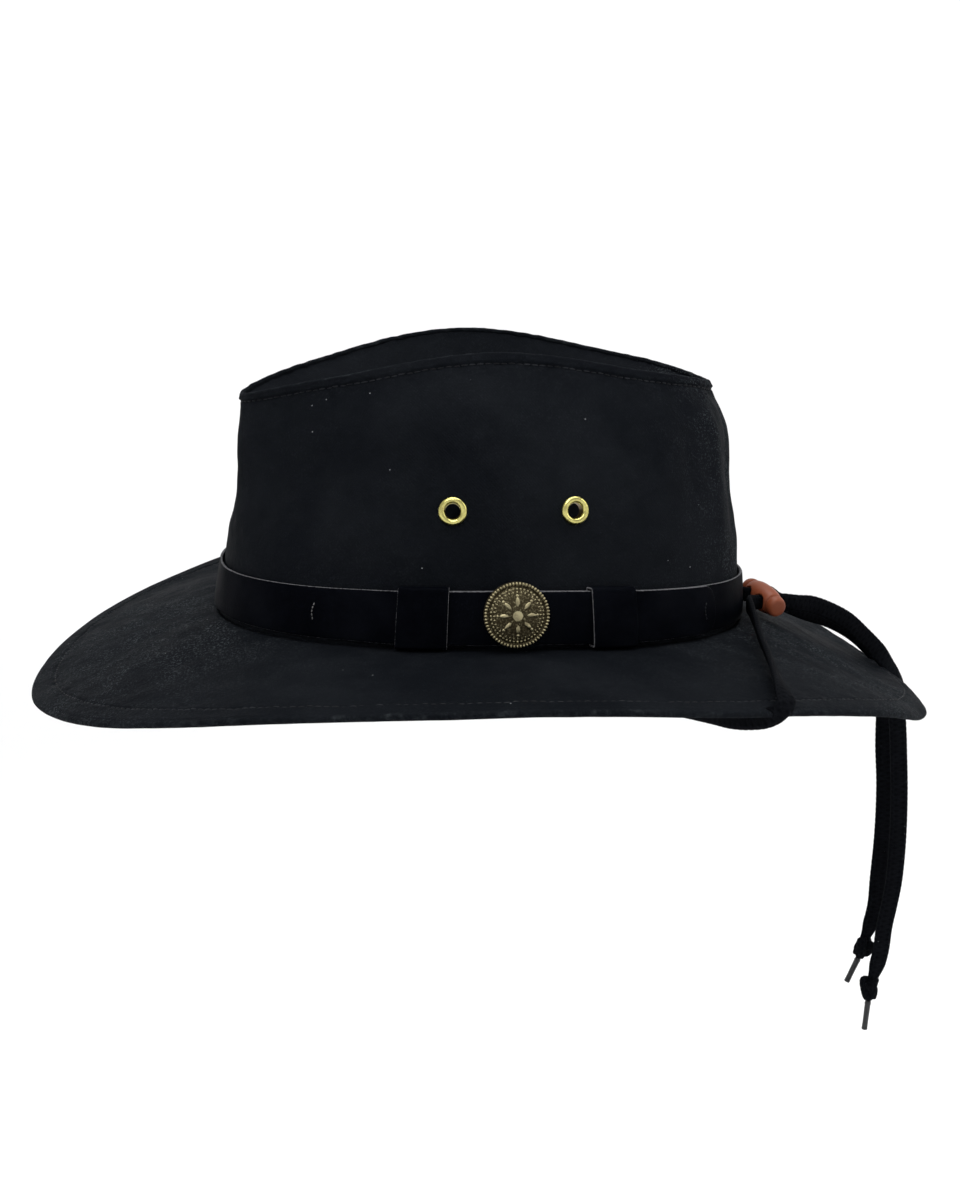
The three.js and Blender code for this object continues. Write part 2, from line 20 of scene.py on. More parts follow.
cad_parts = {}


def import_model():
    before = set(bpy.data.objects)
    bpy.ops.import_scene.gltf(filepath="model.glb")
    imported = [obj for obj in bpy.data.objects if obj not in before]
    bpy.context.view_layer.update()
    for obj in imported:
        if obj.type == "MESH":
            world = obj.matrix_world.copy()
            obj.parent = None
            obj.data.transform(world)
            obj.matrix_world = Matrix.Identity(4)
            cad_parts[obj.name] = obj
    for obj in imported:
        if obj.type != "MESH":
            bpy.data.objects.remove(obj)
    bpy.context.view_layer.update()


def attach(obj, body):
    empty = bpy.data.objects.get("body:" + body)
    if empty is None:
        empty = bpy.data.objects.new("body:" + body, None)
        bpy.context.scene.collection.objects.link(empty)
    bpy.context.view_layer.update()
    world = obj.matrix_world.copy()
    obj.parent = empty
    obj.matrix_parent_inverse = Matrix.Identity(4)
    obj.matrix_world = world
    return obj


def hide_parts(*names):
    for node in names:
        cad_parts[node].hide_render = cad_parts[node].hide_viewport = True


log = logging.getLogger("oilskin_hat")

Array = np.ndarray
Socket = bpy.types.NodeSocket
Value = Union[float, int, tuple, Socket]
Triple = tuple[float, float, float]

BODY = "root"
# Clearance between pieces that touch.
GAP = 0.0003
# How far stitches stand off the cloth.
STITCH_PROUD = 0.0001
# Small steps, in degrees and in shares of a face, from which its normals are worked out.
TURN_STEP = 0.5
SHARE_STEP = 0.01
# Place nearest the crown at which the brim's normals are worked out.
FIRST_OUT = 0.001
# Pale grain of the cloth where nobody rubs it, and what rubbing adds.
LEAST_GRAIN = 0.05
RUBBED_GRAIN = 0.75


class Slot(Enum):
    """Material slots of the record."""

    CLOTH = "waxed_cotton"
    LEATHER = "band_leather"
    OLD_BRASS = "old_brass"
    BRIGHT_BRASS = "bright_brass"
    WOOD = "stained_wood"
    BRAID = "braid"
    SHEATH = "cord_sheath"


class Side(Enum):
    """Side of the wearer that a strand starts on, as its sign along Y."""

    LEFT = -1
    RIGHT = 1


def unit(vectors: Array) -> Array:
    """Returns the vectors at length one."""
    return vectors / np.maximum(np.linalg.norm(vectors, axis=-1, keepdims=True), 1e-12)


def eased(share: Array) -> Array:
    """Returns a share from 0 to 1 with a soft start and end."""
    held = np.clip(share, 0.0, 1.0)
    return held * held * (3 - 2 * held)


def bell(distance: Array, width: float) -> Array:
    """Returns a soft hump, one at distance 0 and fading past the width."""
    return np.exp(-((distance / width) ** 2))


def turn_from(place: float, angle: Array) -> Array:
    """Returns the turn from a place round the hat to each angle, between -180 and 180."""
    return (angle - place + 180) % 360 - 180


def spaced_round(count: int, whole: float = 360.0) -> Array:
    """Returns evenly spaced turns from 0 up to a whole turn, which is left out."""
    return np.arange(count) * whole / count


def paired(one: Array, two: Array) -> list[Array]:
    """Returns two inputs as arrays of numbers with one common shape."""
    return list(np.broadcast_arrays(np.asarray(one, float), np.asarray(two, float)))


def running_length(path: Array) -> Array:
    """Returns the length along a path at each of its points."""
    return np.concatenate([[0], np.cumsum(np.linalg.norm(np.diff(path, axis=0), axis=1))])


def read_between(places: Array, known: Array, rows: Array) -> Array:
    """Returns rows of three numbers, read at places between the known ones."""
    return np.stack([np.interp(places, known, rows[:, i]) for i in range(3)], axis=1)


def through(values: Sequence[float], place: Array, closed: bool) -> Array:
    """Smooth curve through equally spaced values.

    Args:
        values: what the curve passes through.
        place: where to read it, counted in steps.
        closed: whether the last value leads on to the first.

    Returns:
        The curve's value at each place.
    """
    table = np.asarray(values, float)
    count = len(table)
    step = np.floor(place).astype(int)
    if not closed:
        step = np.clip(step, 0, count - 2)
    part = place - step

    def at(index: Array) -> Array:
        """Returns the values at whole steps."""
        return table[index % count] if closed else table[np.clip(index, 0, count - 1)]

    a, b, c, d = (at(step + shift) for shift in (-1, 0, 1, 2))
    square = 2 * a - 5 * b + 4 * c - d
    cube = 3 * b - a - 3 * c + d
    return 0.5 * (2 * b + (c - a) * part + square * part**2 + cube * part**3)


@dataclass(frozen=True)
class Unevenness:
    """Soft random relief, as a sum of plane waves with fixed directions.

    Fields:
        seed: start of the random draws.
        shortest: shortest wave.
        longest: longest wave.
        waves: how many are added.
        rise: height of the relief.
    """

    seed: int
    shortest: float
    longest: float
    waves: int = 26
    rise: float = 1.0

    def at(self, points: Array) -> Array:
        """Relief at some points.

        Args:
            points: places, with three numbers each.

        Returns:
            The relief at each point, of about its rise at most.
        """
        draw = np.random.default_rng(self.seed)
        ways = unit(draw.normal(size=(self.waves, 3)))
        lengths = np.exp(draw.uniform(math.log(self.shortest), math.log(self.longest), self.waves))
        starts = draw.uniform(0, 2 * math.pi, self.waves)
        total = np.zeros(points.shape[:-1])
        for way, length, start in zip(ways, lengths, starts):
            total += (length / self.longest) * np.sin(2 * math.pi * (points @ way) / length + start)
        spread = 2 * math.sqrt(float(np.sum((lengths / self.longest) ** 2)) / 2)
        return self.rise * (total / spread)


class Heights(NamedTuple):
    """Heights at five angles round the hat, alike on both sides."""

    back: float
    back_quarter: float
    side: float
    front_quarter: float
    front: float

    def at(self, angle: Array) -> Array:
        """Returns the height at each angle."""
        half = list(self)
        return through(half + half[3:0:-1], np.asarray(angle, float) / 45, True)


class Wave(NamedTuple):
    """Rise or fall near one angle round the hat.

    Fields:
        place: angle of its middle.
        wide: half width in degrees.
        rise: height of its middle, below 0 for a fall.
    """

    place: float
    wide: float
    rise: float

    def at(self, angle: Array) -> Array:
        """Returns the rise at each angle."""
        return self.rise * bell(turn_from(self.place, angle), self.wide)


@dataclass(frozen=True)
class HatForm:
    """Outer faces of the crown and of the brim, worked out from a few driving sizes."""

    # Reach to the front, to the back and to each side, at equal levels from the foot to the rim.
    crown_front: tuple[float, ...] = (0.1050, 0.1025, 0.1000, 0.0969, 0.0965, 0.0938)
    crown_back: tuple[float, ...] = (0.1064, 0.1061, 0.1053, 0.1026, 0.1009, 0.0940)
    crown_half: tuple[float, ...] = (0.084, 0.082, 0.079, 0.075, 0.0655, 0.046)
    foot_roundness: float = 2.15
    rim_roundness: float = 1.95
    # The two soft pinches in front, alike on both sides.
    pinch_at: float = 142.0
    pinch_level: float = 0.72
    pinch_depth: float = 0.008
    pinch_wide: float = 20.0
    pinch_tall: float = 0.28
    # The dent in the top, and the heights of the foot, the rim and the brim's edge.
    dent_floor: float = 0.076
    dent_power: float = 2.6
    foot_height: Heights = Heights(-0.0084, -0.0054, -0.0004, -0.0004, -0.001)
    rim_height: Heights = Heights(0.0868, 0.0941, 0.1045, 0.0937, 0.0849)
    edge_height: Heights = Heights(-0.0455, -0.0215, -0.0024, -0.0158, -0.0305)
    # The brim's outline, and how its face sweeps down to its edge.
    edge_front: float = 0.1795
    edge_back: float = 0.183
    edge_swell: Wave = Wave(342.0, 13.0, 0.0010)
    edge_half: float = 0.158
    edge_roundness: float = 2.02
    edge_waves: tuple[Wave, ...] = (
        Wave(239.0, 17.0, 0.0028),
        Wave(121.0, 17.0, 0.0032),
        Wave(304.0, 12.0, 0.0016),
        Wave(334.0, 13.0, -0.0030),
        Wave(212.0, 12.0, -0.0010),
    )
    wave_power: float = 1.8
    # The edge behind, which rolls up a little and droops at its very end.
    roll_place: float = 354.0
    roll_turn: float = 24.0
    roll_at: float = 0.91
    roll_wide: float = 0.09
    roll_rise: float = 0.0030
    droop: float = 0.0016
    droop_power: float = 12.0
    brim_sweep: float = 1.25
    brim_seat: float = 0.0004

    @staticmethod
    def oval(angle: Array, front: Array, back: Array, half: Array, roundness: Array) -> Array:
        """Points of an oval that reaches differently to the front and to the back.

        Args:
            angle: angles round the hat.
            front: reach along -X.
            back: reach along +X.
            half: reach along Y.
            roundness: exponent of the oval, 2 for an ellipse.

        Returns:
            X and Y of each point.
        """
        cosine = np.cos(np.radians(angle))
        sine = np.sin(np.radians(angle))
        x = np.sign(cosine) * np.abs(cosine) ** (2 / roundness)
        y = np.sign(sine) * np.abs(sine) ** (2 / roundness)
        return np.stack([np.where(x < 0, front, back) * x, half * y], axis=-1)

    def crown(self, angle: Array, level: Array) -> Array:
        """Points on the crown's wall, at levels from 0 at its foot to 1 at its rim."""
        angle, level = paired(angle, level)
        step = np.maximum(level, 0) * (len(self.crown_half) - 1)
        reach = [through(row, step, False) for row in (self.crown_front, self.crown_back, self.crown_half)]
        roundness = self.foot_roundness + (self.rim_roundness - self.foot_roundness) * level
        flat = self.oval(angle, *reach, roundness)
        turn = angle % 360
        high = ((level - self.pinch_level) / self.pinch_tall) ** 2
        dent = np.zeros_like(turn)
        for place in (self.pinch_at, 360 - self.pinch_at):
            dent += self.pinch_depth * np.exp(-(((turn - place) / self.pinch_wide) ** 2) - high)
        flat = flat * (1 - dent / np.linalg.norm(flat, axis=-1))[..., None]
        height = self.foot_height.at(angle) * (1 - level) + self.rim_height.at(angle) * level
        return np.concatenate([flat, height[..., None]], axis=-1)

    def crown_normal(self, angle: Array, level: Array) -> Array:
        """Outward directions of the crown's wall."""
        angle, level = paired(angle, level)
        top = np.minimum(level + SHARE_STEP, 1.0)
        side = self.crown(angle + TURN_STEP, level) - self.crown(angle - TURN_STEP, level)
        up = self.crown(angle, top) - self.crown(angle, top - 2 * SHARE_STEP)
        return unit(np.cross(side, up))

    def off_crown(self, angle: Array, level: Array, away: Array) -> Array:
        """Points that stand some distance off the crown's wall."""
        return self.crown(angle, level) + self.crown_normal(angle, level) * np.asarray(away)[..., None]

    def level_at(self, angle: Array, height: Array) -> Array:
        """Level on the crown's wall at a height above its foot."""
        return height / (self.rim_height.at(angle) - self.foot_height.at(angle))

    def brim(self, angle: Array, out: Array) -> Array:
        """Points on the brim's upper face, out from 0 at the crown to 1 at the edge."""
        angle, out = paired(angle, out)
        foot = self.crown(angle, np.zeros_like(angle))
        edge = self.oval(angle, self.edge_front, self.edge_back, self.edge_half, self.edge_roundness)
        edge = edge * (1 + self.edge_swell.at(angle) / np.linalg.norm(edge, axis=-1))[..., None]
        grow = 1 + self.brim_seat / np.linalg.norm(foot[..., :2], axis=-1)
        held = np.maximum(out, 0)
        sweep = held**self.brim_sweep
        flat = foot[..., :2] * (grow * (1 - out))[..., None] + edge * out[..., None]
        height = self.foot_height.at(angle) * (1 - sweep) + self.edge_height.at(angle) * sweep
        for wave in self.edge_waves:
            height = height + wave.at(angle) * held**self.wave_power
        roll = self.roll_rise * bell(out - self.roll_at, self.roll_wide) - self.droop * held**self.droop_power
        height = height + roll * bell(turn_from(self.roll_place, angle), self.roll_turn)
        return np.concatenate([flat, height[..., None]], axis=-1)

    def brim_normal(self, angle: Array, out: Array) -> Array:
        """Upward directions of the brim's upper face."""
        angle, out = paired(angle, out)
        side = self.brim(angle + TURN_STEP, out) - self.brim(angle - TURN_STEP, out)
        inner = np.maximum(out - SHARE_STEP, FIRST_OUT)
        away = self.brim(angle, inner + 2 * SHARE_STEP) - self.brim(angle, inner)
        return unit(np.cross(away, side))


class Fold(NamedTuple):
    """One soft crease or swelling of the cloth, on a flat chart of the piece.

    Fields:
        at: angle round the hat.
        up: height on the crown, or distance out on the brim.
        lean: degrees from level to the line that it follows.
        long: half length along that line.
        wide: half width across it.
        rise: height of its crest, below 0 for a hollow.
    """

    at: float
    up: float
    lean: float
    long: float
    wide: float
    rise: float

    def relief(self, angle: Array, up: Array, radius: float) -> Array:
        """Relief that the fold adds.

        Args:
            angle: angles round the hat.
            up: second coordinate of the chart.
            radius: radius that turns angles into lengths.

        Returns:
            Distance outwards for each point.
        """
        x = np.radians(turn_from(self.at, angle)) * radius
        y = up - self.up
        tilt = math.radians(self.lean)
        along = x * math.cos(tilt) + y * math.sin(tilt)
        across = y * math.cos(tilt) - x * math.sin(tilt)
        return self.rise * bell(along, self.long) * bell(across, self.wide)


def folded(folds: Sequence[Fold], angle: Array, up: Array, radius: float) -> Array:
    """Returns the summed relief of several folds."""
    total = np.zeros(np.broadcast(angle, up).shape)
    for fold in folds:
        total += fold.relief(angle, up, radius)
    return total


def grainy(angle: Array, places: Sequence[float], wide: float = 27.0) -> Array:
    """Returns how much pale grain shows round the hat, most near some places."""
    near = [bell(turn_from(place, angle), wide) for place in places]
    return LEAST_GRAIN + RUBBED_GRAIN * np.max(near, axis=0)


def linked(name: str, data: bpy.types.ID) -> bpy.types.Object:
    """New object of the scene.

    Args:
        name: its name.
        data: the mesh, light or camera that it holds.

    Returns:
        The object.
    """
    made = bpy.data.objects.new(name, data)
    bpy.context.scene.collection.objects.link(made)
    return made


def coordinates(mesh: bpy.types.Mesh) -> Array:
    """Returns the mesh's present coordinates, one point after the other."""
    own = np.zeros(len(mesh.vertices) * 3, np.float32)
    mesh.vertices.foreach_get("co", own)
    return own


def store(mesh: bpy.types.Mesh, label: str, values: Array) -> None:
    """Stores one number for each point of a mesh in a named attribute."""
    attribute = mesh.attributes.new(label, "FLOAT", "POINT")
    attribute.data.foreach_set("value", values.astype(np.float32))


def mesh_object(name: str, points: Array, faces: list[tuple[int, ...]]) -> bpy.types.Object:
    """Object at the origin with a smooth mesh of points and faces."""
    mesh = bpy.data.meshes.new(name)
    mesh.from_pydata([tuple(p) for p in points.tolist()], [], faces)
    mesh.update()
    mesh.polygons.foreach_set("use_smooth", np.ones(len(mesh.polygons), bool))
    return linked(name, mesh)


def ring_body(
    name: str,
    rings: Array,
    shut: bool,
    chart: Array | None = None,
    marks: dict[str, Array] | None = None,
) -> bpy.types.Object:
    """Closed body from rings of points.

    Args:
        name: the piece's name.
        rings: points, as rings by points round by three.
        shut: whether the last ring joins the first; otherwise each end is closed by a fan.
        chart: flat cloth coordinates in metres, with one more column than the rings.
        marks: point attributes by name, with the shape of the rings.

    Returns:
        The new object, with its faces pointing outwards.
    """
    count, width = rings.shape[:2]
    points = rings.reshape(-1, 3)
    last = count if shut else count - 1
    row = np.arange(last)[:, None]
    column = np.arange(width)[None, :]
    after = (row + 1) % count
    beside = (column + 1) % width
    corners = [(row, column), (row, beside), (after, beside), (after, column)]
    faces = np.stack([(r * width + c).reshape(-1) for r, c in corners], axis=-1)
    a, b, c = points[faces[:, 0]], points[faces[:, 1]], points[faces[:, 2]]
    middle = points.mean(0)
    inside_out = float(np.einsum("ij,ij->i", a - middle, np.cross(b - middle, c - middle)).sum()) < 0
    order = (3, 2, 1, 0) if inside_out else (0, 1, 2, 3)
    quads = faces[:, order].tolist()
    fans: list[tuple[int, ...]] = []
    if not shut:
        for index, ring in ((0, rings[0]), (count - 1, rings[-1])):
            points = np.vstack([points, ring.mean(0)])
            hub = len(points) - 1
            turned = (index == 0) != inside_out
            for i in range(width):
                one, two = index * width + i, index * width + (i + 1) % width
                fans.append((hub, two, one) if turned else (hub, one, two))
    piece = mesh_object(name, points, quads + fans)
    extra = len(points) - count * width
    if chart is not None:
        add_chart(piece, chart, (last, width), order, len(fans))
    for label, values in (marks or {}).items():
        store(piece.data, label, np.append(values.reshape(-1), np.zeros(extra)))
    return piece


def add_chart(
    piece: bpy.types.Object, chart: Array, shape: tuple[int, int], order: Sequence[int], fans: int
) -> None:
    """Writes flat cloth coordinates to the UV map of a ring body.

    Args:
        piece: the ring body.
        chart: coordinates in metres, one column more than the body has points round.
        shape: rows and columns of its quads.
        order: how each quad's corners were turned.
        fans: how many triangles follow the quads.
    """
    rows, columns = shape
    row = np.arange(rows)[:, None]
    column = np.arange(columns)[None, :]
    after = (row + 1) % chart.shape[0]
    corners = [chart[row, column], chart[row, column + 1], chart[after, column + 1], chart[after, column]]
    quads = np.stack(corners, axis=2).reshape(-1, 4, 2)[:, order, :].reshape(-1, 2)
    flat = np.vstack([quads, np.zeros((fans * 3, 2))])
    layer = piece.data.uv_layers.new(name="cloth")
    layer.data.foreach_set("uv", flat.astype(np.float32).reshape(-1))


def seen_from_above(rings: Array) -> Array:
    """Returns X and Y of rings as a flat chart, with one column more than a ring has points."""
    return np.concatenate([rings[..., :2], rings[:, :1, :2]], axis=1)


def girth(rings: Array) -> Array:
    """Running length round each ring, with one column more than the ring has points."""
    steps = np.linalg.norm(np.roll(rings, -1, axis=1) - rings, axis=-1)
    return np.concatenate([np.zeros((len(rings), 1)), np.cumsum(steps, axis=1)], axis=1)


def placement(place: Sequence[float], along: Sequence[float], across: Sequence[float]) -> Matrix:
    """Matrix that puts a shape's own Y axis along a direction, with its X axis along across."""
    y = Vector(along).normalized()
    x = Vector(across)
    x = (x - y * x.dot(y)).normalized()
    z = x.cross(y)
    matrix = Matrix((x, y, z)).transposed().to_4x4()
    matrix.translation = Vector(place)
    return matrix


def turned_body(
    name: str,
    profile: Sequence[tuple[float, float]],
    sides: int,
    place: Matrix,
    shut: bool,
    hollow: Sequence[float] | None = None,
) -> bpy.types.Object:
    """Body turned round its own Y axis.

    Args:
        name: the piece's name.
        profile: distance along the axis and radius, in order.
        sides: how many points go round.
        place: where it goes.
        shut: whether the profile closes on itself, as in a ring.
        hollow: how dark each point of the profile is; the eyelets give painted shade inside their hole this
            way.

    Returns:
        The new object, with its own coordinates kept in the attribute "turned".
    """
    angles = spaced_round(sides, 2 * math.pi)
    outline = np.asarray(profile, float)
    own = np.stack(
        [
            outline[:, 1:2] * np.cos(angles),
            np.broadcast_to(outline[:, 0:1], (len(outline), sides)),
            outline[:, 1:2] * np.sin(angles),
        ],
        axis=-1,
    )
    marks = {"hollow": np.repeat(np.asarray(hollow)[:, None], sides, axis=1)} if hollow else None
    piece = ring_body(name, own, shut, None, marks)
    keep_own_coordinates(piece)
    piece.data.transform(place)
    return piece


def keep_own_coordinates(piece: bpy.types.Object) -> None:
    """Stores the mesh's present coordinates in the vector attribute "turned"."""
    attribute = piece.data.attributes.new("turned", "FLOAT_VECTOR", "POINT")
    attribute.data.foreach_set("vector", coordinates(piece.data))


def settled(piece: bpy.types.Object) -> bpy.types.Object:
    """Turns an object with modifiers into a plain mesh object of the same name.

    Args:
        piece: the object, which is removed.

    Returns:
        The plain object.
    """
    bpy.context.view_layer.update()
    evaluated = piece.evaluated_get(bpy.context.evaluated_depsgraph_get())
    mesh = bpy.data.meshes.new_from_object(evaluated)
    name = piece.name
    bpy.data.objects.remove(piece)
    mesh.name = name
    return linked(name, mesh)


def cut(piece: bpy.types.Object, tools: Sequence[bpy.types.Object]) -> bpy.types.Object:
    """Cuts tools out of a piece and removes them.

    Args:
        piece: the closed piece.
        tools: closed bodies to cut away.

    Returns:
        The cut piece as a plain mesh object.
    """
    for tool in tools:
        modifier = piece.modifiers.new(tool.name, "BOOLEAN")
        modifier.operation = "DIFFERENCE"
        modifier.solver = "EXACT"
        modifier.object = tool
    plain = settled(piece)
    for tool in tools:
        bpy.data.objects.remove(tool)
    return plain


def finished(
    piece: bpy.types.Object, material: bpy.types.Material, slot: Slot, *nodes: str
) -> bpy.types.Object:
    """Dresses a piece and lets it ride on the hat.

    Args:
        piece: the finished shape.
        material: its finish.
        slot: slot of the record that the finish belongs to; not used.
        nodes: nodes of the frame that it stands for.

    Returns:
        The same piece.
    """
    piece.data.materials.clear()
    piece.data.materials.append(material)
    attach(piece, BODY)
    if nodes:
        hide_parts(*nodes)
    log.info("%s: %d faces", piece.name, len(piece.data.polygons))
    return piece


class Tree:
    """A node tree, with short calls that make nodes and join them."""

    def __init__(self, tree: bpy.types.NodeTree) -> None:
        """Keeps the tree."""
        self.tree = tree

    def node(self, kind: str, inputs: dict | None = None, **settings: object) -> bpy.types.Node:
        """Makes a node.

        Args:
            kind: the node's type name.
            inputs: values or sockets by input name or number.
            settings: properties of the node.

        Returns:
            The node.
        """
        made = self.tree.nodes.new(kind)
        for key, value in settings.items():
            setattr(made, key, value)
        for key, value in (inputs or {}).items():
            self.feed(made.inputs[key], value)
        return made

    def feed(self, socket: Socket, value: Value) -> None:
        """Links a socket to an input, or sets the input's value."""
        if isinstance(value, bpy.types.NodeSocket):
            self.tree.links.new(value, socket)
        else:
            socket.default_value = value

    def math(self, operation: str, *values: Value) -> Socket:
        """Returns the result of a Math node."""
        return self.node("ShaderNodeMath", dict(enumerate(values)), operation=operation).outputs[0]

    def vector(self, operation: str, *values: Value) -> Socket:
        """Returns the vector result of a Vector Math node."""
        made = self.node("ShaderNodeVectorMath", dict(enumerate(values)), operation=operation)
        return made.outputs[0]

    def mix(self, share: Value, one: Value, two: Value) -> Socket:
        """Returns a mix of two colours."""
        made = self.node("ShaderNodeMix", data_type="RGBA")
        self.feed(made.inputs[0], share)
        self.feed(made.inputs[6], one)
        self.feed(made.inputs[7], two)
        return made.outputs[2]

    def spread(
        self, value: Value, low: float, high: float, start: float = 0.0, end: float = 1.0
    ) -> Socket:
        """Returns a value moved from one range to another, softly and held at the ends."""
        inputs = {0: value, 1: low, 2: high, 3: start, 4: end}
        return self.node("ShaderNodeMapRange", inputs, interpolation_type="SMOOTHSTEP").outputs[0]

    def noise(self, vector: Value, scale: float, detail: float = 2.0, rough: float = 0.5) -> Socket:
        """Returns a noise value."""
        inputs = {"Vector": vector, "Scale": scale, "Detail": detail, "Roughness": rough}
        return self.node("ShaderNodeTexNoise", inputs).outputs[0]

    def warped(self, vector: Value, scale: float, amount: float) -> Socket:
        """Returns a vector that noise has bent by some distance."""
        bend = self.node("ShaderNodeTexNoise", {"Vector": vector, "Scale": scale, "Detail": 2.0})
        middle = self.vector("SUBTRACT", bend.outputs["Color"], (0.5, 0.5, 0.5))
        return self.vector("ADD", vector, self.vector("MULTIPLY", middle, (amount,) * 3))

    def bump(self, height: Value, depth: float, under: Socket | None = None) -> Socket:
        """Returns a normal bent by a height, whose value of one stands for a depth in metres."""
        inputs = {"Height": height, "Distance": depth, "Strength": 1.0}
        if under is not None:
            inputs["Normal"] = under
        return self.node("ShaderNodeBump", inputs).outputs[0]

    def attribute(self, name: str, output: str = "Fac") -> Socket:
        """Returns an attribute of the mesh."""
        return self.node("ShaderNodeAttribute", attribute_name=name).outputs[output]

    def place(self) -> Socket:
        """Returns the object's own coordinates."""
        return self.node("ShaderNodeTexCoord").outputs["Object"]


def shader_group(
    name: str, inputs: dict[str, Value], outputs: Sequence[str], build: Callable[[Tree, dict], dict]
) -> bpy.types.NodeTree:
    """Shader node group, built once.

    Args:
        name: the group's name.
        inputs: default values by input name; a tuple of three makes a vector input.
        outputs: names of its value outputs.
        build: takes the tree and its input sockets and returns a socket for each output.

    Returns:
        The group.
    """
    known = bpy.data.node_groups.get(name)
    if known:
        return known
    group = bpy.data.node_groups.new(name, "ShaderNodeTree")
    for label, value in inputs.items():
        kind = "NodeSocketVector" if isinstance(value, tuple) else "NodeSocketFloat"
        made = group.interface.new_socket(label, in_out="INPUT", socket_type=kind)
        made.default_value = value
    for label in outputs:
        group.interface.new_socket(label, in_out="OUTPUT", socket_type="NodeSocketFloat")
    tree = Tree(group)
    source = tree.node("NodeGroupInput")
    sink = tree.node("NodeGroupOutput")
    results = build(tree, {label: source.outputs[label] for label in inputs})
    for label, socket in results.items():
        tree.feed(sink.inputs[label], socket)
    return group


def plain_weave() -> bpy.types.NodeTree:
    """Returns the group for the relief of a plain weave with uneven threads."""

    def build(tree: Tree, given: dict) -> dict:
        """Returns the weave's outputs."""
        parts = tree.node("ShaderNodeSeparateXYZ", {0: given["Chart"]})
        threads = []
        for axis in (0, 1):
            turns = tree.math("DIVIDE", parts.outputs[axis], given["Pitch"])
            threads.append(tree.math("SINE", tree.math("MULTIPLY", turns, math.pi)))
        crossing = tree.math("MULTIPLY", threads[0], threads[1])
        slubs = []
        for stretch in ((600.0, 1700.0, 1.0), (1700.0, 600.0, 1.0)):
            drawn = tree.vector("MULTIPLY", given["Chart"], stretch)
            slubs.append(tree.noise(drawn, 1.0, 1.0))
        slub = tree.math("ADD", slubs[0], slubs[1])
        height = tree.math("ADD", tree.math("MULTIPLY", crossing, 0.35), slub)
        return {"Height": height, "Slub": tree.math("MULTIPLY", slub, 0.5)}

    inputs = {"Chart": (0.0, 0.0, 0.0), "Pitch": 0.0006}
    return shader_group("plain_weave", inputs, ("Height", "Slub"), build)


def wax_bloom() -> bpy.types.NodeTree:
    """Returns the group for the pale patches and the fine pale grain of a wax dressing."""

    def build(tree: Tree, given: dict) -> dict:
        """Returns the bloom's outputs."""
        place = given["Place"]
        broad = tree.noise(place, 17.0, 3.0, 0.55)
        fine = tree.noise(place, 150.0, 3.0, 0.6)
        patch = tree.math("ADD", tree.math("MULTIPLY", broad, 0.8), tree.math("MULTIPLY", fine, 0.2))
        grain = tree.spread(tree.noise(place, 1200.0, 2.0, 0.7), 0.53, 0.65)
        where = tree.spread(tree.noise(place, 70.0, 4.0, 0.65), 0.36, 0.64, 0.12, 0.85)
        return {
            "Patch": tree.spread(patch, 0.36, 0.68),
            "Grain": tree.math("MULTIPLY", grain, where),
        }

    return shader_group("wax_bloom", {"Place": (0.0, 0.0, 0.0)}, ("Patch", "Grain"), build)


def lint_specks() -> bpy.types.NodeTree:
    """Returns the group for scattered specks of lint and dust."""

    def build(tree: Tree, given: dict) -> dict:
        """Returns the specks' mask."""
        cells = tree.node("ShaderNodeTexVoronoi", {"Vector": given["Place"], "Scale": given["Scale"]})
        dot = tree.math("LESS_THAN", cells.outputs["Distance"], given["Size"])
        pick = tree.node("ShaderNodeSeparateXYZ", {0: cells.outputs["Color"]})
        kept = tree.math("LESS_THAN", pick.outputs[0], given["Share"])
        return {"Mask": tree.math("MULTIPLY", dot, kept)}

    inputs = {"Place": (0.0, 0.0, 0.0), "Scale": 190.0, "Size": 0.05, "Share": 0.15}
    return shader_group("lint_specks", inputs, ("Mask",), build)


def scuffed() -> bpy.types.NodeTree:
    """Returns the group that breaks up a mark, such as a raw or worn edge, with noise."""

    def build(tree: Tree, given: dict) -> dict:
        """Returns the broken mark."""
        rag = tree.noise(given["Place"], given["Scale"], 3.0, 0.65)
        sum_of = tree.math("ADD", given["Mark"], tree.math("SUBTRACT", rag, 0.5))
        return {"Mark": tree.spread(sum_of, 0.35, 0.75)}

    inputs = {"Place": (0.0, 0.0, 0.0), "Mark": 0.0, "Scale": 900.0}
    return shader_group("scuffed", inputs, ("Mark",), build)


def hide_grain() -> bpy.types.NodeTree:
    """Returns the group for the pores and creases of smooth leather."""

    def build(tree: Tree, given: dict) -> dict:
        """Returns the grain's height."""
        place = tree.warped(given["Place"], 300.0, 0.0015)
        cells = tree.node("ShaderNodeTexVoronoi", {"Vector": place, "Scale": 1100.0}, feature="SMOOTH_F1")
        wave = tree.noise(given["Place"], 120.0, 3.0)
        return {"Height": tree.math("ADD", tree.math("MULTIPLY", cells.outputs["Distance"], 0.5), wave)}

    return shader_group("hide_grain", {"Place": (0.0, 0.0, 0.0)}, ("Height",), build)


def surface(name: str, rough: float, **constants: float) -> tuple[bpy.types.Material, Tree, bpy.types.Node]:
    """New material with a Principled shader.

    Args:
        name: the material's name.
        rough: roughness.
        **constants: values of the shader's own inputs, with an underscore for each space.

    Returns:
        The material, its tree and its shader.
    """
    material = bpy.data.materials.new(name)
    material.use_nodes = True
    tree = Tree(material.node_tree)
    shader = material.node_tree.nodes["Principled BSDF"]
    coat(tree, shader, Roughness=rough, **constants)
    return material, tree, shader


def coat(tree: Tree, shader: bpy.types.Node, **inputs: Value) -> None:
    """Feeds a shader's inputs, named with an underscore for each space."""
    for label, value in inputs.items():
        tree.feed(shader.inputs[label.replace("_", " ")], value)


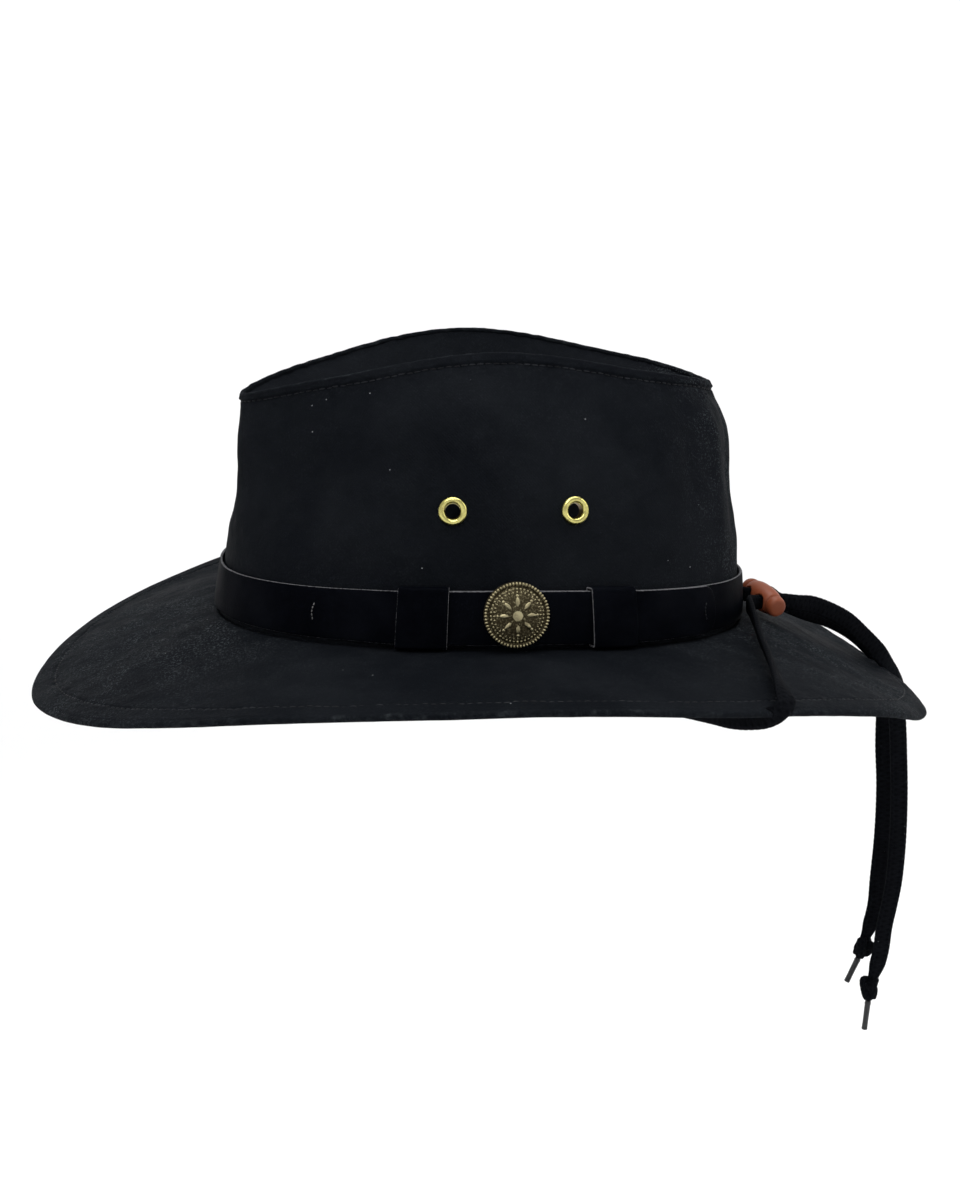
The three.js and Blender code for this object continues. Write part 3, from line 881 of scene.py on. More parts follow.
def grouped(tree: Tree, group: bpy.types.NodeTree, **inputs: Value) -> dict[str, Socket]:
    """Places a shader group in a material.

    Args:
        tree: the material's tree.
        group: the group.
        **inputs: values or sockets by input name.

    Returns:
        The group's output sockets by name.
    """
    node = tree.tree.nodes.new("ShaderNodeGroup")
    node.node_tree = group
    for label, value in inputs.items():
        tree.feed(node.inputs[label], value)
    return {socket.name: socket for socket in node.outputs}


def opaque(color: Triple) -> tuple[float, float, float, float]:
    """Returns a colour with full alpha."""
    return (*color, 1.0)


@dataclass(frozen=True)
class WaxedCotton:
    """Waxed plain-weave cotton with pale rubbed patches and specks of lint."""

    dark: Triple = (0.0034, 0.0042, 0.0057)
    pale: Triple = (0.0086, 0.0099, 0.0120)
    rubbed: Triple = (0.070, 0.080, 0.085)
    lint: Triple = (0.2, 0.21, 0.22)
    rough: float = 0.66
    thread_pitch: float = 0.0006

    def material(self) -> bpy.types.Material:
        """Returns the finish."""
        material, tree, shader = surface("waxed_cotton_cloth", self.rough, Specular_IOR_Level=0.01)
        place = tree.place()
        chart = tree.node("ShaderNodeUVMap", uv_map="cloth").outputs[0]
        weave = grouped(tree, plain_weave(), Chart=chart, Pitch=self.thread_pitch)
        bloom = grouped(tree, wax_bloom(), Place=place)
        specks = grouped(tree, lint_specks(), Place=place)
        wear = grouped(tree, scuffed(), Place=place, Mark=tree.attribute("wear"), Scale=260.0)
        threads = tree.spread(weave["Slub"], 0.3, 0.7, 0.0, 0.14)
        patch = tree.math("MULTIPLY", bloom["Patch"], 0.62)
        color = tree.mix(tree.math("ADD", patch, threads), opaque(self.dark), opaque(self.pale))
        grain = tree.math("MULTIPLY", bloom["Grain"], tree.attribute("grain"))
        rubbed = tree.math("MAXIMUM", grain, tree.math("MULTIPLY", wear["Mark"], 0.2))
        color = tree.mix(rubbed, color, opaque(self.rubbed))
        color = tree.mix(specks["Mask"], color, opaque(self.lint))
        dull = tree.spread(bloom["Patch"], 0.0, 1.0, self.rough - 0.06, self.rough + 0.14)
        threaded = tree.bump(weave["Height"], depth=0.00009)
        normal = tree.bump(tree.noise(place, 420.0, 3.0, 0.6), depth=0.00022, under=threaded)
        coat(tree, shader, Base_Color=color, Roughness=dull, Normal=normal)
        return material


@dataclass(frozen=True)
class BandLeather:
    """Black smooth leather whose cut edges are raw and pale."""

    black: Triple = (0.0009, 0.0012, 0.0022)
    worn: Triple = (0.0024, 0.0029, 0.0044)
    raw: Triple = (0.125, 0.125, 0.132)
    rough: float = 0.55

    def material(self) -> bpy.types.Material:
        """Returns the finish."""
        material, tree, shader = surface("black_band_leather", self.rough, Specular_IOR_Level=0.007)
        place = tree.place()
        grain = grouped(tree, hide_grain(), Place=place)
        raw = grouped(tree, scuffed(), Place=place, Mark=tree.attribute("raw_edge"), Scale=1100.0)
        dull = tree.spread(tree.noise(place, 45.0, 3.0), 0.35, 0.7)
        color = tree.mix(dull, opaque(self.black), opaque(self.worn))
        color = tree.mix(raw["Mark"], color, opaque(self.raw))
        rough = tree.spread(raw["Mark"], 0.0, 1.0, self.rough, 0.9)
        normal = tree.bump(grain["Height"], depth=0.0001)
        coat(tree, shader, Base_Color=color, Roughness=rough, Normal=normal)
        return material


@dataclass(frozen=True)
class Brass:
    """Brass, bright, or darkened in its hollows by patina and, inside an eyelet's hole, by painted shade.

    Fields:
        name: name of the finish.
        bright: colour of the crests.
        dark: colour of the hollows: patina, and painted shade inside an eyelet's hole.
        rough: roughness of the crests.
        age: how much of the dark, as tarnish of age, shows on even ground.
    """

    name: str
    bright: Triple
    dark: Triple
    rough: float
    age: float

    def material(self) -> bpy.types.Material:
        """Returns the finish."""
        material, tree, shader = surface(self.name, self.rough, Metallic=1.0)
        place = tree.place()
        # Dark in the hollows: patina on the ornament, painted shade inside the eyelets' holes.
        hollow = grouped(tree, scuffed(), Place=place, Mark=tree.attribute("hollow"), Scale=1500.0)
        cloud = tree.spread(tree.noise(place, 420.0, 4.0, 0.6), 0.4, 0.7, 0.0, self.age)
        dark = tree.math("MAXIMUM", hollow["Mark"], cloud)
        color = tree.mix(dark, opaque(self.bright), opaque(self.dark))
        rough = tree.spread(dark, 0.0, 1.0, self.rough, self.rough + 0.3)
        normal = tree.bump(tree.noise(place, 2200.0, 2.0), depth=0.00004)
        coat(tree, shader, Base_Color=color, Roughness=rough, Normal=normal)
        return material


@dataclass(frozen=True)
class StainedWood:
    """Turned wood with a reddish satin stain, paler on its end grain, with a painted tan highlight over the
    half towards its far end.
    """

    light: Triple = (0.26, 0.070, 0.030)
    dark: Triple = (0.095, 0.020, 0.008)
    end: Triple = (0.38, 0.12, 0.085)
    # Colour of the painted highlight on the half of the slide towards its far end.
    highlight_tan: Triple = (0.22, 0.18, 0.092)
    rough: float = 0.36
    end_from: float = 0.0119
    end_ramp: float = 0.0004
    # Where the painted highlight starts along the slide's axis, and over what length it fades in.
    highlight_from: float = 0.0005
    highlight_ramp: float = 0.006

    def material(self) -> bpy.types.Material:
        """Returns the finish."""
        material, tree, shader = surface("stained_wood", self.rough, Specular_IOR_Level=0.22)
        own = tree.attribute("turned", "Vector")
        drawn = tree.vector("MULTIPLY", own, (900.0, 70.0, 900.0))
        grain = tree.spread(tree.noise(drawn, 1.0, 3.0, 0.6), 0.35, 0.68)
        color = tree.mix(grain, opaque(self.light), opaque(self.dark))
        parts = tree.node("ShaderNodeSeparateXYZ", {0: own})
        reach = tree.math("ABSOLUTE", parts.outputs[1])
        end = tree.spread(reach, self.end_from, self.end_from + self.end_ramp)
        across = tree.vector("MULTIPLY", own, (1.0, 0.0, 1.0))
        rings = tree.node("ShaderNodeTexWave", {"Vector": across, "Scale": 330.0, "Distortion": 3.0})
        rings.wave_type = "RINGS"
        faint = tree.math("MULTIPLY", rings.outputs["Fac"], 0.35)
        ends = tree.mix(faint, opaque(self.end), opaque(self.light))
        # Painted highlight: the half towards the far end turns tan, its edge broken up by noise.
        worn = tree.spread(parts.outputs[1], self.highlight_from, self.highlight_from + self.highlight_ramp)
        ragged = tree.spread(tree.noise(own, 260.0, 3.0, 0.6), 0.36, 0.6, 0.3, 1.0)
        color = tree.mix(tree.math("MULTIPLY", worn, ragged), color, opaque(self.highlight_tan))
        color = tree.mix(end, color, ends)
        rough = tree.spread(grain, 0.0, 1.0, self.rough, self.rough + 0.15)
        coat(tree, shader, Base_Color=color, Roughness=rough, Normal=tree.bump(grain, depth=0.00005))
        return material


@dataclass(frozen=True)
class BraidYarn:
    """Black braid of soft yarn with a few pale fibres."""

    black: Triple = (0.0013, 0.0016, 0.0023)
    worn: Triple = (0.0054, 0.0061, 0.0077)
    lint: Triple = (0.1, 0.105, 0.11)
    rough: float = 0.72

    def material(self) -> bpy.types.Material:
        """Returns the finish."""
        material, tree, shader = surface("braid_yarn", self.rough, Specular_IOR_Level=0.015)
        place = tree.place()
        fibres = tree.noise(place, 2600.0, 2.0, 0.6)
        crest = tree.math("MULTIPLY", tree.attribute("crest"), tree.spread(fibres, 0.3, 0.7, 0.3, 1.0))
        specks = grouped(tree, lint_specks(), Place=place, Scale=420.0, Size=0.09, Share=0.05)
        color = tree.mix(crest, opaque(self.black), opaque(self.worn))
        color = tree.mix(specks["Mask"], color, opaque(self.lint))
        coat(tree, shader, Base_Color=color, Normal=tree.bump(fibres, depth=0.00008))
        return material


@dataclass(frozen=True)
class Sheath:
    """Black shrunk sheath of a cord's tip, rubbed grey."""

    black: Triple = (0.0035, 0.0038, 0.0048)
    rubbed: Triple = (0.016, 0.017, 0.019)
    rough: float = 0.3

    def material(self) -> bpy.types.Material:
        """Returns the finish."""
        material, tree, shader = surface("tip_sheath", self.rough, Specular_IOR_Level=0.4)
        place = tree.place()
        rubbed = tree.spread(tree.noise(place, 600.0, 3.0, 0.6), 0.42, 0.66)
        color = tree.mix(rubbed, opaque(self.black), opaque(self.rubbed))
        rough = tree.spread(rubbed, 0.0, 1.0, self.rough, 0.55)
        normal = tree.bump(tree.noise(place, 900.0), depth=0.00005)
        coat(tree, shader, Base_Color=color, Roughness=rough, Normal=normal)
        return material


@dataclass(frozen=True)
class SewingThread:
    """Waxed black sewing thread, a little lighter than the cloth."""

    color: Triple = (0.005, 0.0055, 0.007)
    worn: Triple = (0.017, 0.0185, 0.022)

    def material(self) -> bpy.types.Material:
        """Returns the finish."""
        material, tree, shader = surface("sewing_thread", 0.6, Specular_IOR_Level=0.15)
        place = tree.place()
        worn = tree.spread(tree.noise(place, 140.0, 3.0), 0.4, 0.68)
        coat(tree, shader, Base_Color=tree.mix(worn, opaque(self.color), opaque(self.worn)))
        return material


def node_tools(name: str, inputs: dict[str, Value]) -> tuple[bpy.types.NodeTree, Tree, dict[str, Socket]]:
    """New Geometry Nodes tree with named inputs.

    Args:
        name: the tree's name.
        inputs: default values by input name.

    Returns:
        The tree, its short calls, and its input sockets by name.
    """
    group = bpy.data.node_groups.new(name, "GeometryNodeTree")
    group.interface.new_socket("Geometry", in_out="INPUT", socket_type="NodeSocketGeometry")
    group.interface.new_socket("Geometry", in_out="OUTPUT", socket_type="NodeSocketGeometry")
    for label, value in inputs.items():
        kind = "NodeSocketInt" if isinstance(value, int) else "NodeSocketFloat"
        group.interface.new_socket(label, in_out="INPUT", socket_type=kind).default_value = value
    group.interface.new_socket("Material", in_out="INPUT", socket_type="NodeSocketMaterial")
    tree = Tree(group)
    source = tree.node("NodeGroupInput")
    return group, tree, {socket.name: socket for socket in source.outputs if socket.name}


def close_tree(tree: Tree, geometry: Socket, material: Socket) -> None:
    """Ends a Geometry Nodes tree with real smooth meshes and their material."""
    real = tree.node("GeometryNodeRealizeInstances", {0: geometry}).outputs[0]
    smooth = tree.node("GeometryNodeSetShadeSmooth", {"Geometry": real}).outputs[0]
    dressed = tree.node("GeometryNodeSetMaterial", {"Geometry": smooth, "Material": material})
    sink = tree.node("NodeGroupOutput")
    tree.feed(sink.inputs["Geometry"], dressed.outputs[0])


def grown(
    piece: bpy.types.Object, group: bpy.types.NodeTree, values: dict[str, object]
) -> bpy.types.Object:
    """Runs a Geometry Nodes tree on an object.

    Args:
        piece: the object, which is replaced.
        group: the tree.
        values: inputs by name.

    Returns:
        The result as a plain mesh object.
    """
    modifier = piece.modifiers.new(group.name, "NODES")
    modifier.node_group = group
    known = {i.name: i.identifier for i in group.interface.items_tree if i.in_out == "INPUT"}
    for label, value in values.items():
        modifier[known[label]] = value
    return settled(piece)


def stitch_tree() -> bpy.types.NodeTree:
    """Returns the tree that lays stitches end to end along a line of edges."""
    known = bpy.data.node_groups.get("stitch_row")
    if known:
        return known
    inputs = {"Pitch": 0.0032, "Length": 0.0024, "Thick": 0.0003, "Wander": 0.08, "Seed": 1}
    group, tree, given = node_tools("stitch_row", inputs)
    line = tree.node("GeometryNodeMeshToCurve", {"Mesh": given["Geometry"]}).outputs[0]
    even = tree.node("GeometryNodeResampleCurve", {"Curve": line, "Length": given["Pitch"]}, mode="LENGTH")
    tangent = tree.node("GeometryNodeInputTangent").outputs[0]
    along = tree.node("FunctionNodeAlignRotationToVector", {"Vector": tangent}, axis="X").outputs[0]
    draw = tree.node("FunctionNodeRandomValue", {"Seed": given["Seed"]}, data_type="FLOAT")
    tree.feed(draw.inputs[2], tree.math("MULTIPLY", given["Wander"], -1.0))
    tree.feed(draw.inputs[3], given["Wander"])
    lean = tree.node("ShaderNodeCombineXYZ", {"Z": draw.outputs[1]}).outputs[0]
    turn = tree.node("FunctionNodeEulerToRotation", {0: lean}).outputs[0]
    rotation = tree.node(
        "FunctionNodeRotateRotation", {"Rotation": along, "Rotate By": turn}, rotation_space="LOCAL"
    ).outputs[0]
    ball = tree.node("GeometryNodeMeshUVSphere", {"Segments": 8, "Rings": 6, "Radius": 1.0}).outputs[0]
    half = tree.math("MULTIPLY", given["Length"], 0.5)
    size = tree.node("ShaderNodeCombineXYZ", {0: half, 1: given["Thick"], 2: given["Thick"]}).outputs[0]
    stitch = tree.node("GeometryNodeTransform", {"Geometry": ball, "Scale": size}).outputs[0]
    row = tree.node(
        "GeometryNodeInstanceOnPoints",
        {"Points": even.outputs[0], "Instance": stitch, "Rotation": rotation},
    ).outputs[0]
    close_tree(tree, row, given["Material"])
    return group


@dataclass(frozen=True)
class StitchRow:
    """Row of stitches along a path.

    Fields:
        pitch: from one stitch to the next.
        length: length of a stitch.
        thick: half its thickness.
        wander: how far it may lean, in radians.
        seed: start of its random lean.
    """

    pitch: float = 0.0031
    length: float = 0.0025
    thick: float = 0.00028
    wander: float = 0.09
    seed: int = 3

    def build(
        self, name: str, path: Array, material: bpy.types.Material, shut: bool = True
    ) -> bpy.types.Object:
        """Stitches along a path.

        Args:
            name: the piece's name.
            path: points of the path.
            material: the thread.
            shut: whether the path closes on itself.

        Returns:
            The row as one mesh.
        """
        count = len(path)
        edges = [(i, (i + 1) % count) for i in range(count if shut else count - 1)]
        mesh = bpy.data.meshes.new(name)
        mesh.from_pydata([tuple(p) for p in path.tolist()], edges, [])
        line = linked(name, mesh)
        values = {
            "Pitch": self.pitch,
            "Length": self.length,
            "Thick": self.thick,
            "Wander": self.wander,
            "Seed": self.seed,
            "Material": material,
        }
        return grown(line, stitch_tree(), values)


class WornLine(NamedTuple):
    """Line along an edge where the cloth is worn.

    Fields:
        inside: distance of its middle from the edge.
        wide: half its width.
        amount: how worn its middle is.
    """

    inside: float
    wide: float
    amount: float

    def at(self, distance: Array) -> Array:
        """Returns the wear at each distance from the edge."""
        return self.amount * bell(distance - self.inside, self.wide)


@dataclass(frozen=True)
class Crown:
    """Crown: a wall of cloth and a sunken top, joined by a seam that is stitched down on the wall."""

    form: HatForm
    stations: int = 480
    wall: float = 0.002
    foot_level: float = -0.03
    wall_rows: int = 70
    inner_rows: int = 26
    seam_reach: float = 0.0085
    seam_rows: int = 24
    tall: float = 0.095
    girth_radius: float = 0.092
    # The welt over the seam, and the topstitching below it.
    stitch_down: float = 0.0034
    welt_rise: float = 0.0008
    welt_back: float = 0.0006
    welt_ramp: float = 0.0009
    groove: float = 0.0006
    groove_wide: float = 0.0005
    pucker_wide: float = 0.0045
    # The rounded rim, and where the inner face follows the outer one.
    roll: float = 0.001
    roll_share: float = 0.8
    roll_arc: tuple[float, ...] = (22, 45, 68, 90, 112, 135, 158)
    rim_calm: float = 0.006
    calm_level: float = 0.93
    seam_level: float = 0.97
    # Where the cloth is held flat, by the band and round the eyelets.
    band_top: float = 0.024
    band_ramp: float = 0.014
    chart_from: float = 0.75
    eyelet_level: float = 0.485
    eyelet_calm: float = 0.009
    eyelets: tuple[float, ...] = (258.9, 283.8, 101.1, 76.2)
    hole: float = 0.0038
    punch_reach: float = 0.006
    # The sunken top: its rows, its edge, and the crease along its middle.
    tip_hub: float = 0.03
    tip_rows: int = 58
    tip_edge_rows: int = 26
    tip_under_hub: float = 0.05
    tip_under_rows: int = 22
    tip_inset: float = 0.0005
    tip_drop: float = 0.0013
    tip_drop_wide: float = 0.004
    tip_pucker_wide: float = 0.006
    tip_reach: float = 0.06
    tip_calm: float = 0.02
    tip_bend: float = 0.86
    tip_wear: float = 0.3
    tip_wear_wide: float = 0.02
    crease_depth: float = 0.0022
    crease_wide: float = 0.007
    crease_sway: float = 0.006
    crease_bends: float = 40.0
    # Wear, and the random relief of soft cloth.
    rubbed_at: tuple[float, ...] = (344.0, 16.0)
    rubbed_wide: float = 20.0
    worn: tuple[WornLine, ...] = (WornLine(0.0, 0.0012, 0.42), WornLine(0.0025, 0.0005, 0.3))
    slump: Unevenness = Unevenness(11, 0.022, 0.06, rise=0.0009)
    crumple: Unevenness = Unevenness(12, 0.006, 0.016, rise=0.00022)
    seam_pucker: Unevenness = Unevenness(13, 0.003, 0.0065, 40, 0.0003)
    tip_slump: Unevenness = Unevenness(21, 0.03, 0.075, rise=0.0016)
    tip_crumple: Unevenness = Unevenness(22, 0.007, 0.018, rise=0.0003)
    tip_pucker: Unevenness = Unevenness(23, 0.004, 0.008, rise=0.00025)

    folds: tuple[Fold, ...] = (
        Fold(232, 0.066, 62, 0.030, 0.010, -0.0016),
        Fold(214, 0.052, 80, 0.026, 0.008, 0.0012),
        Fold(250, 0.078, 20, 0.034, 0.009, 0.0010),
        Fold(292, 0.070, -12, 0.040, 0.012, -0.0012),
        Fold(318, 0.060, 84, 0.034, 0.007, -0.0013),
        Fold(330, 0.050, 82, 0.032, 0.006, 0.0011),
        Fold(344, 0.058, 78, 0.030, 0.007, -0.0012),
        Fold(128, 0.066, -62, 0.030, 0.010, -0.0016),
        Fold(146, 0.052, -80, 0.026, 0.008, 0.0012),
        Fold(105, 0.074, -18, 0.036, 0.010, -0.0011),
        Fold(66, 0.062, 10, 0.040, 0.012, 0.0011),
        Fold(40, 0.060, -84, 0.034, 0.007, -0.0013),
        Fold(20, 0.054, -80, 0.030, 0.006, 0.0011),
        Fold(180, 0.060, 86, 0.028, 0.006, -0.0012),
    )

    def relief(self, angle: Array, level: Array) -> Array:
        """How far the cloth stands off its smooth form.

        Args:
            angle: angles round the hat.
            level: levels up the wall.

        Returns:
            Distance outwards, which fades out behind the band and at the eyelets.
        """
        up = level * self.tall
        down = (1 - level) * self.tall
        base = self.form.crown(angle, level)
        soft = folded(self.folds, angle, up, self.girth_radius)
        soft = soft + self.slump.at(base) + self.crumple.at(base)
        calm = eased((up - self.band_top) / self.band_ramp)
        for place in self.eyelets:
            x = np.radians(turn_from(place, angle)) * self.girth_radius
            apart = np.hypot(x, up - self.eyelet_level * self.tall)
            calm = calm * (1 - bell(apart, self.eyelet_calm))
        below = down - self.stitch_down
        welt = self.welt_rise * (1 - eased((below + self.welt_back) / self.welt_ramp))
        seam = welt - self.groove * bell(below, self.groove_wide)
        pucker = self.seam_pucker.at(base) * bell(below, self.pucker_wide)
        return soft * calm * eased(down / self.rim_calm) + seam + pucker

    def levels(self) -> Array:
        """Returns the levels of the outer rows, close together at the seam."""
        seam_from = 1 - self.seam_reach / self.tall
        top = 1 - self.roll_share * self.roll / self.tall
        plain = np.linspace(self.foot_level, seam_from, self.wall_rows, endpoint=False)
        return np.concatenate([plain, np.linspace(seam_from, top, self.seam_rows)])

    def side(self) -> bpy.types.Object:
        """Returns the wall, with a punched hole for each eyelet."""
        angle = spaced_round(self.stations)
        levels = self.levels()
        top = np.full(self.stations, levels[-1])
        turns, heights = np.meshgrid(angle, levels)
        outer = self.form.off_crown(turns, heights, self.relief(turns, heights))
        rounded = self.rounded_rim(outer[-1], self.form.crown_normal(angle, top))
        inner_levels = np.linspace(levels[-1], self.foot_level, self.inner_rows)
        turns, heights = np.meshgrid(angle, inner_levels)
        behind = self.relief(turns, np.minimum(heights, self.calm_level))
        behind = np.where(heights > self.seam_level, self.relief(angle, top), behind)
        inner = self.form.off_crown(turns, heights, behind - 2 * self.roll)
        rings = np.concatenate([outer, rounded, inner])
        down = np.concatenate([1 - levels, np.zeros(len(rounded)), 1 - inner_levels]) * self.tall
        run = girth(rings)
        run = run - run[:, int(self.stations * self.chart_from)][:, None]
        chart = np.stack([run, np.broadcast_to(-down[:, None], run.shape)], axis=-1)
        wear = sum(line.at(down) for line in self.worn)
        wall = ring_body("crown_wall", rings, True, chart, self.marks(angle, wear))
        return cut(wall, [self.punch(place) for place in self.eyelets])

    def rounded_rim(self, top: Array, normal: Array) -> Array:
        """Rings that carry the wall over its rim.

        Args:
            top: highest ring of the outer face.
            normal: outward directions along it.

        Returns:
            The rings, from the outer face to the inner one.
        """
        up = unit(np.cross(normal, np.roll(top, -1, axis=0) - np.roll(top, 1, axis=0)))
        up = up * np.sign(up[:, 2:3])
        middle = top - normal * self.roll
        arc = np.radians(self.roll_arc)
        return np.array([middle + self.roll * (normal * math.cos(a) + up * math.sin(a)) for a in arc])

    def marks(self, angle: Array, wear: Array) -> dict[str, Array]:
        """Marks that the cloth's finish reads.

        Args:
            angle: angles of the points of each ring.
            wear: how worn each ring is.

        Returns:
            The attributes by name.
        """
        shape = (len(wear), len(angle))
        grain = grainy(np.broadcast_to(angle, shape), self.rubbed_at, self.rubbed_wide)
        return {"wear": np.broadcast_to(wear[:, None], shape), "grain": grain}

    def punch(self, place: float) -> bpy.types.Object:
        """Returns the round body that cuts an eyelet's hole."""
        profile = [(-self.punch_reach, self.hole), (self.punch_reach, self.hole)]
        return turned_body(f"punch_{place:.0f}", profile, 32, self.eyelet_frame(place), False)

    def eyelet_frame(self, place: float) -> Matrix:
        """Returns the frame of an eyelet, with its Y axis straight out of the wall."""
        at = self.form.crown(place, self.eyelet_level)
        return placement(at, self.form.crown_normal(place, self.eyelet_level), (0, 0, 1))

    def tip(self) -> bpy.types.Object:
        """Returns the sunken top inside the rim."""
        angle = spaced_round(self.stations)
        rim = self.form.crown(angle, np.ones(self.stations))
        inward = -self.form.crown_normal(angle, np.ones(self.stations))
        inward[:, 2] = 0
        seam = rim + unit(inward) * self.tip_inset
        plain = np.linspace(self.tip_hub, self.tip_bend, self.tip_rows, endpoint=False)
        upper = np.concatenate([plain, np.linspace(self.tip_bend, 1.0, self.tip_edge_rows)])
        lower = np.linspace(1.0, self.tip_under_hub, self.tip_under_rows)
        rings = np.concatenate(
            [self.tip_rings(seam, upper, GAP), self.tip_rings(seam, lower, GAP + self.wall)]
        )
        wear = self.tip_wear * bell(1 - upper, self.tip_wear_wide)
        wear = np.concatenate([wear, np.zeros(len(lower))])
        return ring_body("crown_top", rings, False, seen_from_above(rings), self.marks(angle, wear))

    def tip_rings(self, seam: Array, shares: Array, drop: float) -> Array:
        """Rings of the sunken top.

        Args:
            seam: line round its edge.
            shares: how far out each ring lies, from 0 in the middle to 1 at the edge.
            drop: how far the rings are lowered.

        Returns:
            The rings.
        """
        share = shares[:, None]
        points = np.empty((len(shares), self.stations, 3))
        points[..., :2] = seam[None, :, :2] * share[..., None]
        climb = share**self.form.dent_power
        points[..., 2] = self.form.dent_floor * (1 - climb) + seam[None, :, 2] * climb
        middle = self.crease_sway * np.sin(points[..., 0] * self.crease_bends)
        crease = -self.crease_depth * bell(points[..., 1] - middle, self.crease_wide)
        soft = self.tip_slump.at(points) + self.tip_crumple.at(points)
        edge = (1 - share) * self.tip_reach
        points[..., 2] += (soft + crease) * eased(edge / self.tip_calm)
        points[..., 2] -= self.tip_drop * bell(edge, self.tip_drop_wide) + drop
        points[..., 2] += self.tip_pucker.at(points) * bell(edge, self.tip_pucker_wide)
        return points

    def stitch_path(self) -> Array:
        """Returns the line of the topstitching below the rim."""
        angle = spaced_round(self.stations)
        level = np.full(self.stations, 1 - self.stitch_down / self.tall)
        return self.form.off_crown(angle, level, self.relief(angle, level) + STITCH_PROUD)

    def make(self, cloth: bpy.types.Material, thread: bpy.types.Material, brass: bpy.types.Material) -> None:
        """Builds and dresses the crown.

        Args:
            cloth: finish of the cloth.
            thread: finish of the stitches.
            brass: finish of the eyelets.
        """
        finished(self.side(), cloth, Slot.CLOTH, "crown_side")
        finished(self.tip(), cloth, Slot.CLOTH, "crown_tip")
        stitches = StitchRow(pitch=0.003, length=0.0026, seed=5)
        row = stitches.build("crown_topstitch", self.stitch_path(), thread)
        finished(row, thread, Slot.CLOTH)
        names = ("near_front", "near_back", "far_front", "far_back")
        for name, place in zip(names, self.eyelets):
            eyelet = Eyelet().build(f"rolled_eyelet_{name}", self.eyelet_frame(place))
            finished(eyelet, brass, Slot.BRIGHT_BRASS, f"eyelet_{name}")


@dataclass(frozen=True)
class Eyelet:
    """Rolled brass ring, clenched through the crown's wall."""

    flange: float = 0.0054
    hole: float = 0.0028
    barrel: float = 0.0035
    curl: float = 0.0013
    seat: float = 0.0005
    wall: float = 0.002
    sides: int = 56

    def build(self, name: str, place: Matrix) -> bpy.types.Object:
        """Builds the ring.

        Args:
            name: the piece's name.
            place: its frame on the crown's wall.

        Returns:
            The ring.
        """
        middle = (self.flange + self.hole) / 2
        half = (self.flange - self.hole) / 2
        crown = [
            (self.seat - 0.0003 + self.curl * math.sin(a), middle + half * math.cos(a))
            for a in np.radians(np.linspace(-12, 180, 17))
        ]
        inside = -self.wall - self.seat
        clench = [
            (inside - 0.0004, self.hole),
            (inside - 0.0008, self.hole + 0.0004),
            (inside - 0.0009, self.hole + 0.0009),
            (inside - 0.0006, self.flange - 0.0013),
            (inside - 0.0002, self.flange - 0.0011),
            (inside, self.flange - 0.0014),
            (inside, self.barrel),
            (self.seat - 0.0004, self.barrel),
        ]
        # The points that roll into the hole, and the clench inside the hat, are painted dark: painted shade
        # inside the eyelet's hole.
        age = [0.0] * 14 + [0.3, 0.6, 0.9] + [1.2] * len(clench)
        return turned_body(name, crown + clench, self.sides, place, True, age)


